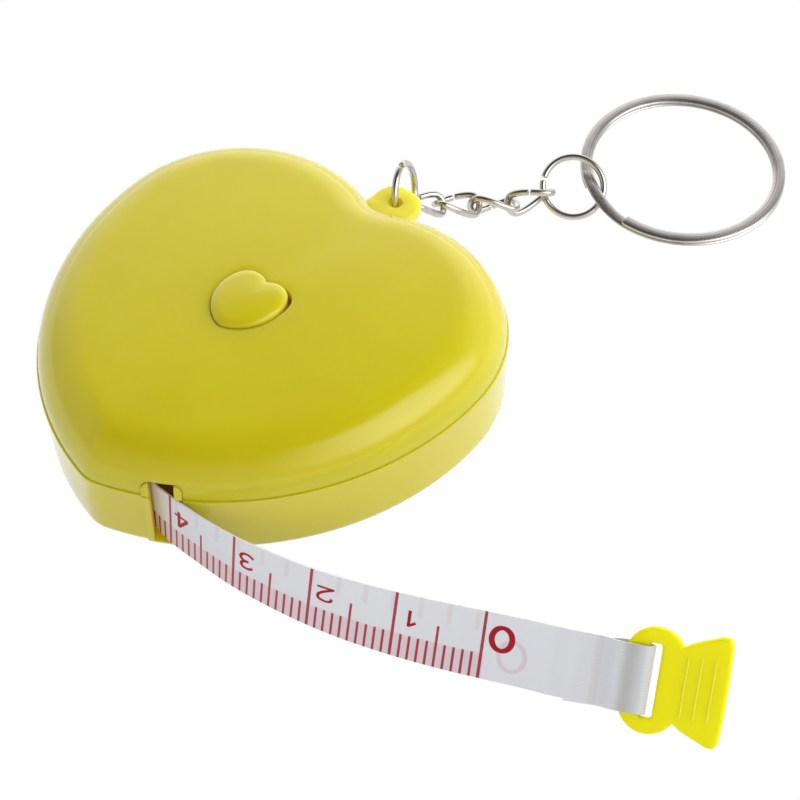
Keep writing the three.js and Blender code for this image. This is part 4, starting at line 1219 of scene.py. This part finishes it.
class TM_OT_chain(bpy.types.Operator):
    """Lug ring, curb links, jump ring and split key ring"""

    bl_idname = "tape_measure.chain"
    bl_label = "Key chain"

    def execute(self, context):
        s = context.scene.tm_chain
        self.material = shared()["metal"]
        hook = 2 * s.wire + HOOK_PLAY
        normal = aim_axes(*LUG_RING_AIM)[0]
        flat = unit(np.cross(UP, normal))
        steep = np.cross(normal, flat)
        hoop = np.stack([flat, steep, normal])
        heart = heart_of(context.scene.tm_case)
        cleft = cleft_centre(heart) - heart["cleft_radius"]
        hole = np.array([0, cleft + LUG_HOLE_OUT, LUG_HOLE_HEIGHT])
        round_at = lambda angle: polar(math.radians(angle), 1) @ hoop[:2]
        centre = hole - round_at(LUG_ANGLE) * s.lug_ring
        lug_ring = self.ring("lug_ring_wire", s.lug_ring, LUG_RING_GAP, hoop, centre, s.wire)
        self.keep(lug_ring, "lug_ring", "lug_ring")

        last = round_at(LINK_ANGLE)
        far = centre + last * s.lug_ring
        for number, aim in enumerate(LINK_AIMS, 1):
            axes = aim_axes(*aim)
            centre = far - unit(last + axes[0]) * hook + axes[0] * s.link_length
            self.keep(self.link(s, axes, centre, number), f"link_{number}", f"chain_link_{number}")
            far = centre + axes[0] * s.link_length
            last = axes[0]

        axes = aim_axes(*JUMP_RING_AIM)
        centre = far - unit(last + axes[0]) * hook + axes[0] * s.jump_ring
        jump_ring = self.ring("jump_ring_wire", s.jump_ring, JUMP_RING_GAP, axes, centre, s.wire)
        self.keep(jump_ring, "jump_ring", "jump_ring")

        spread = s.jump_ring + s.key_ring - s.band - s.wire - KEY_RING_PLAY
        away = polar(math.radians(KEY_RING_AZIMUTH), 1)
        lift = s.key_ring * math.sin(-math.radians(KEY_RING_AIM[1]))
        middle = np.array([*(centre[:2] + spread * away), lift])
        self.keep(self.split_ring(s, aim_axes(*KEY_RING_AIM), middle), "split_ring", "split_ring")
        return {"FINISHED"}

    def keep(self, obj, body, node):
        """Joins a piece to its body, and hides the solid that it stands for."""
        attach(obj, body)
        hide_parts(node)

    def ring(self, name, radius, gap, axes, centre, wire):
        """Ring of round wire with a gap between its rounded ends."""
        angles = np.radians(np.linspace(gap[1], gap[0] + 360, 150))
        flat = np.column_stack([polar(angles, radius), np.zeros(len(angles))])
        return tube(name, centre + flat @ axes, axes[2], circle(wire), self.material, rounding=wire * 0.4)

    def link(self, s, axes, centre, number):
        """Long ring of wire, turned about its length by an angle that grows from one end to the other."""
        twist_angle, straighten = 42, 1.7
        angles = np.radians(np.linspace(92, 448, 130))
        straight = s.link_length - s.link_width
        shift = np.sin(np.clip(straighten * np.cos(angles), -1, 1) * math.pi / 2)
        along = straight * shift + s.link_width * np.cos(angles)
        across = s.link_width * np.sin(angles)
        twist = math.radians(twist_angle) * along / s.link_length
        path = np.column_stack([along, across * np.cos(twist), across * np.sin(twist)])
        normal = np.column_stack([np.zeros_like(twist), -np.sin(twist), np.cos(twist)])
        name, rounding = f"chain_link_{number}_wire", s.wire * 0.3
        return tube(name, centre + path @ axes, normal @ axes, circle(s.wire), self.material, rounding)

    def split_ring(self, s, axes, centre):
        """Two flat turns of flat wire, the upper one first, with one smooth step down between them.

        The section is close to an ellipse."""
        start, sweep, step_from, step_over = -101, 685, 326, 34
        high, step_down, half_wire = 1.0, 0.55, 0.26 * MM
        angle = np.linspace(0, sweep, 420)
        share = np.clip((angle - step_from) / step_over, 0, 1)
        share = share**2 * (3 - 2 * share)
        flat = polar(np.radians(angle + start), s.key_ring - s.band / 2)
        path = np.column_stack([flat, (high - step_down * share) * MM])
        turn = np.linspace(0, 2 * math.pi, 28, endpoint=False) + math.pi / 28
        round_off = np.abs(polar(turn, 1)) ** 0.9 * np.sign(polar(turn, 1))
        section = round_off * np.array([half_wire, s.band / 2])
        tint = tuple(bpy.context.scene.tm_looks.ring)
        drawn = drawn_metal("Drawn plating", shared()["plated"], tint, 0.24, centre, axes[2])
        return tube("split_ring_wire", centre + path @ axes, axes[2], section, drawn, rounding=0.1 * MM)


class TM_OT_inside(bpy.types.Operator):
    """Finishes of the pieces that the case closes in"""

    bl_idname = "tape_measure.inside"
    bl_label = "Inner pieces"

    def execute(self, context):
        materials = shared()
        finish = {
            "reel": "inside", "brake_ring": "inside", "brake_disc": "inside", "spring_cover": "inside",
            "mainspring": "spring",
        }
        for node, key in finish.items():
            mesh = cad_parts[node].data
            mesh.materials.clear()
            mesh.materials.append(materials[key])
        self.coil(materials["tape"])
        self.spring(materials["spring"])
        return {"FINISHED"}

    def coil(self, material):
        """Wound tape: a flat spiral strip, each turn outside the last."""
        turns, inner, outer, middle = 16, 10.4 * MM, 14.25 * MM, 5.05 * MM
        share = np.linspace(0, 1, turns * 48)
        radius = inner + (outer - inner) * share
        flat = polar(2 * math.pi * turns * share, 1) * radius[:, None]
        path = np.column_stack([flat, np.full(len(flat), middle)])
        half = np.array([3.74, 0.08]) * MM
        section = np.array([[-1, -1], [1, -1], [1, 1], [-1, 1]]) * half
        coil = tube("tape_coil_strip", path, UP, section, material)
        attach(coil, "reel")
        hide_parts("tape_coil")

    def spring(self, material):
        """Button spring: round wire on a helix that fills the spring's box."""
        low, high = (np.array(corner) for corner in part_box("button_spring"))
        curls, wire, travel = 4.5, 0.175 * MM, 1.5 * MM
        share = np.linspace(0, 1, 200)
        flat = polar(2 * math.pi * curls * share, high[0] - wire)
        height = high[2] - low[2]
        path = np.column_stack([flat, low[2] + wire + (height - 2 * wire) * share])
        spring = tube("button_spring_wire", path, UP, circle(wire, 12), material)
        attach(spring, "case")
        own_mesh(spring)
        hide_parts("button_spring")


class TM_OT_stage(bpy.types.Operator):
    """Camera, floor and soft studio light"""

    bl_idname = "tape_measure.stage"
    bl_label = "Stage"

    def execute(self, context):
        self.camera(context)
        self.world(context)
        self.floor()
        self.light("Softbox", (0.388, 0.068, 0.308), (0.7, 0.5), 0.12)
        self.light("Front", (0.42, -0.36, 0.32), (0.4, 0.3), 0.92)
        self.light("Back", (0.05, 0.15, 0.14), (0.12, 0.12), 0.085)
        return {"FINISHED"}

    def camera(self, context):
        """Camera that sees the part as the photo does: its three directions and its place."""
        data = bpy.data.cameras.new("Camera")
        data.sensor_width = 36
        data.lens = 144
        data.clip_start = 0.01
        camera = new_object("Camera", data)
        right = (0.76661, 0.64113, -0.03552)
        up = (-0.45785, 0.58457, 0.66982)
        back = (0.45021, -0.49722, 0.74168)
        place = (0.182926, -0.176089, 0.277584)
        matrix = Matrix((right, up, back)).transposed().to_4x4()
        matrix.translation = place
        camera.matrix_world = matrix
        context.scene.camera = camera

    def world(self, context):
        """White to the camera. Its light is strongest low and behind, and shiny pieces mirror a room."""
        world = bpy.data.worlds.new("Studio")
        world.use_nodes = True
        context.scene.world = world
        context.scene.view_settings.view_transform = "Standard"
        w = Wiring(world.node_tree)
        shader = world.node_tree.nodes["Background"]
        rays = w.node("ShaderNodeLightPath").outputs
        seen, gloss = rays["Is Camera Ray"], rays["Is Glossy Ray"]
        x, y, z = w.split(w.node("ShaderNodeTexCoord").outputs["Generated"])
        low = w.remap(z, 0.25, 0.8, 1.6, 0.34)
        back = w.math("MULTIPLY_ADD", x, -0.35, w.math("MULTIPLY", y, 0.94))
        behind = w.remap(back, -0.3, 0.7, 0.46, 1.64)
        beside = w.remap(x, -0.8, 0.4, 0.76, 1.15)
        dull = w.math("MULTIPLY_ADD", gloss, -1.14, 1.14)
        level = w.product(low, behind, beside, dull)
        level = w.math("MULTIPLY_ADD", self.mirrored(w, x, y, z), gloss, level)
        w.feed(shader.inputs["Color"], WHITE)
        unseen = w.math("SUBTRACT", 1.0, seen)
        w.feed(shader.inputs["Strength"], w.math("MULTIPLY_ADD", level, unseen, seen))

    def mirrored(self, w, x, y, z):
        """What shiny surfaces mirror.

        A white horizon, a dim room, a window on the right and a pale wall behind."""
        window_light, wall_light = 2.6, 0.9
        room = w.math("ADD", w.remap(z, 0.55, 0.9, 0.55, 0.08), w.remap(z, 0.02, 0.15, 0.45, 0.0))
        turn = w.math("ARCTAN2", y, x)
        wide = w.product(w.remap(turn, -0.75, 0.25), w.remap(turn, 0.6, 1.08, 1.0, 0.0))
        high = w.product(w.remap(z, 0.15, 0.48), w.remap(z, 0.84, 0.94, 1.0, 0.0))
        room = w.math("MULTIPLY_ADD", w.product(wide, high), window_light, room)
        behind = w.math("MULTIPLY_ADD", x, -0.62, w.math("MULTIPLY", y, 0.79))
        wall = w.product(w.remap(behind, 0.5, 0.95), w.remap(z, 0.64, 0.8, 1.0, 0.0))
        return w.math("MULTIPLY_ADD", wall, wall_light, room)

    def floor(self):
        """Pale floor that takes the shadows, looks white, and can be seen through from below."""
        mesh = bpy.data.meshes.new("Floor")
        size, z = 2.5, -0.05 * MM
        corners = [(-size, -size, z), (size, -size, z), (size, size, z), (-size, size, z)]
        mesh.from_pydata(corners, [], [(0, 1, 2, 3)])
        material, w, shader = new_material("Floor")
        set_plain(shader, {"Base Color": (0.9, 0.9, 0.9, 1), "Roughness": 0.8})
        rays = w.node("ShaderNodeLightPath").outputs
        seen = w.math("MAXIMUM", rays["Is Camera Ray"], rays["Is Glossy Ray"])
        seen = w.math("MAXIMUM", seen, rays["Is Transmission Ray"])
        white = w.node("ShaderNodeEmission").outputs[0]
        above = w.node("ShaderNodeMixShader", seen, shader.outputs[0], white).outputs[0]
        clear = w.node("ShaderNodeBsdfTransparent").outputs[0]
        from_below = w.node("ShaderNodeNewGeometry").outputs["Backfacing"]
        look = w.node("ShaderNodeMixShader", from_below, above, clear).outputs[0]
        w.feed(material.node_tree.nodes["Material Output"].inputs["Surface"], look)
        mesh.materials.append(material)
        floor = new_object("Floor", mesh)

    def light(self, name, place, size, power):
        """Soft light from a rectangle, aimed at the part."""
        data = bpy.data.lights.new(name, "AREA")
        data.shape = "RECTANGLE"
        data.size, data.size_y = size
        data.energy = power
        light = new_object(name, data)
        light.location = place
        light.visible_glossy = False
        light.visible_camera = False
        part_middle = Vector((0.02, 0.01, 0))
        light.rotation_euler = (Vector(place) - part_middle).to_track_quat("Z", "Y").to_euler()


class TM_PT_panel(bpy.types.Panel):
    """Sizes, colours and build steps"""

    bl_label = "Tape measure"
    bl_idname = "TM_PT_panel"
    bl_space_type = "VIEW_3D"
    bl_region_type = "UI"
    bl_category = "Tape measure"

    def draw(self, context):
        for title, name in zip(("Case", "Tape", "Chain", "Colours"), GROUPS):
            group = getattr(context.scene, name)
            box = self.layout.box()
            box.label(text=title)
            for key in group.__annotations__:
                box.prop(group, key)
        for step in STEPS:
            self.layout.operator(step.bl_idname)


GROUPS = {"tm_case": CaseSizes, "tm_tape": TapeSizes, "tm_chain": ChainSizes, "tm_looks": Looks}
STEPS = (TM_OT_stage, TM_OT_tape, TM_OT_tab, TM_OT_case, TM_OT_button, TM_OT_chain, TM_OT_inside)
CLASSES = (*GROUPS.values(), *STEPS, TM_PT_panel)


def register():
    """Adds the classes, and their settings to the scene."""
    for item in CLASSES:
        bpy.utils.register_class(item)
    for name, group in GROUPS.items():
        setattr(bpy.types.Scene, name, bpy.props.PointerProperty(type=group))


def unregister():
    """Takes the settings and the classes away again."""
    for name in GROUPS:
        delattr(bpy.types.Scene, name)
    for item in reversed(CLASSES):
        bpy.utils.unregister_class(item)


def main():
    """Builds every piece in order."""
    register()
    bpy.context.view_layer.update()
    bpy.ops.tape_measure.stage()
    bpy.ops.tape_measure.tape()
    bpy.ops.tape_measure.tab()
    cord = STORE["cord"]
    tuple(cord["path"][0])
    [tuple(point) for point in cord["path"]]
    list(STORE["tab"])
    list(cord["digits"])
    bpy.ops.tape_measure.case()
    bpy.ops.tape_measure.button()
    bpy.ops.tape_measure.chain()
    bpy.ops.tape_measure.inside()


if __name__ == "__main__":
    main()
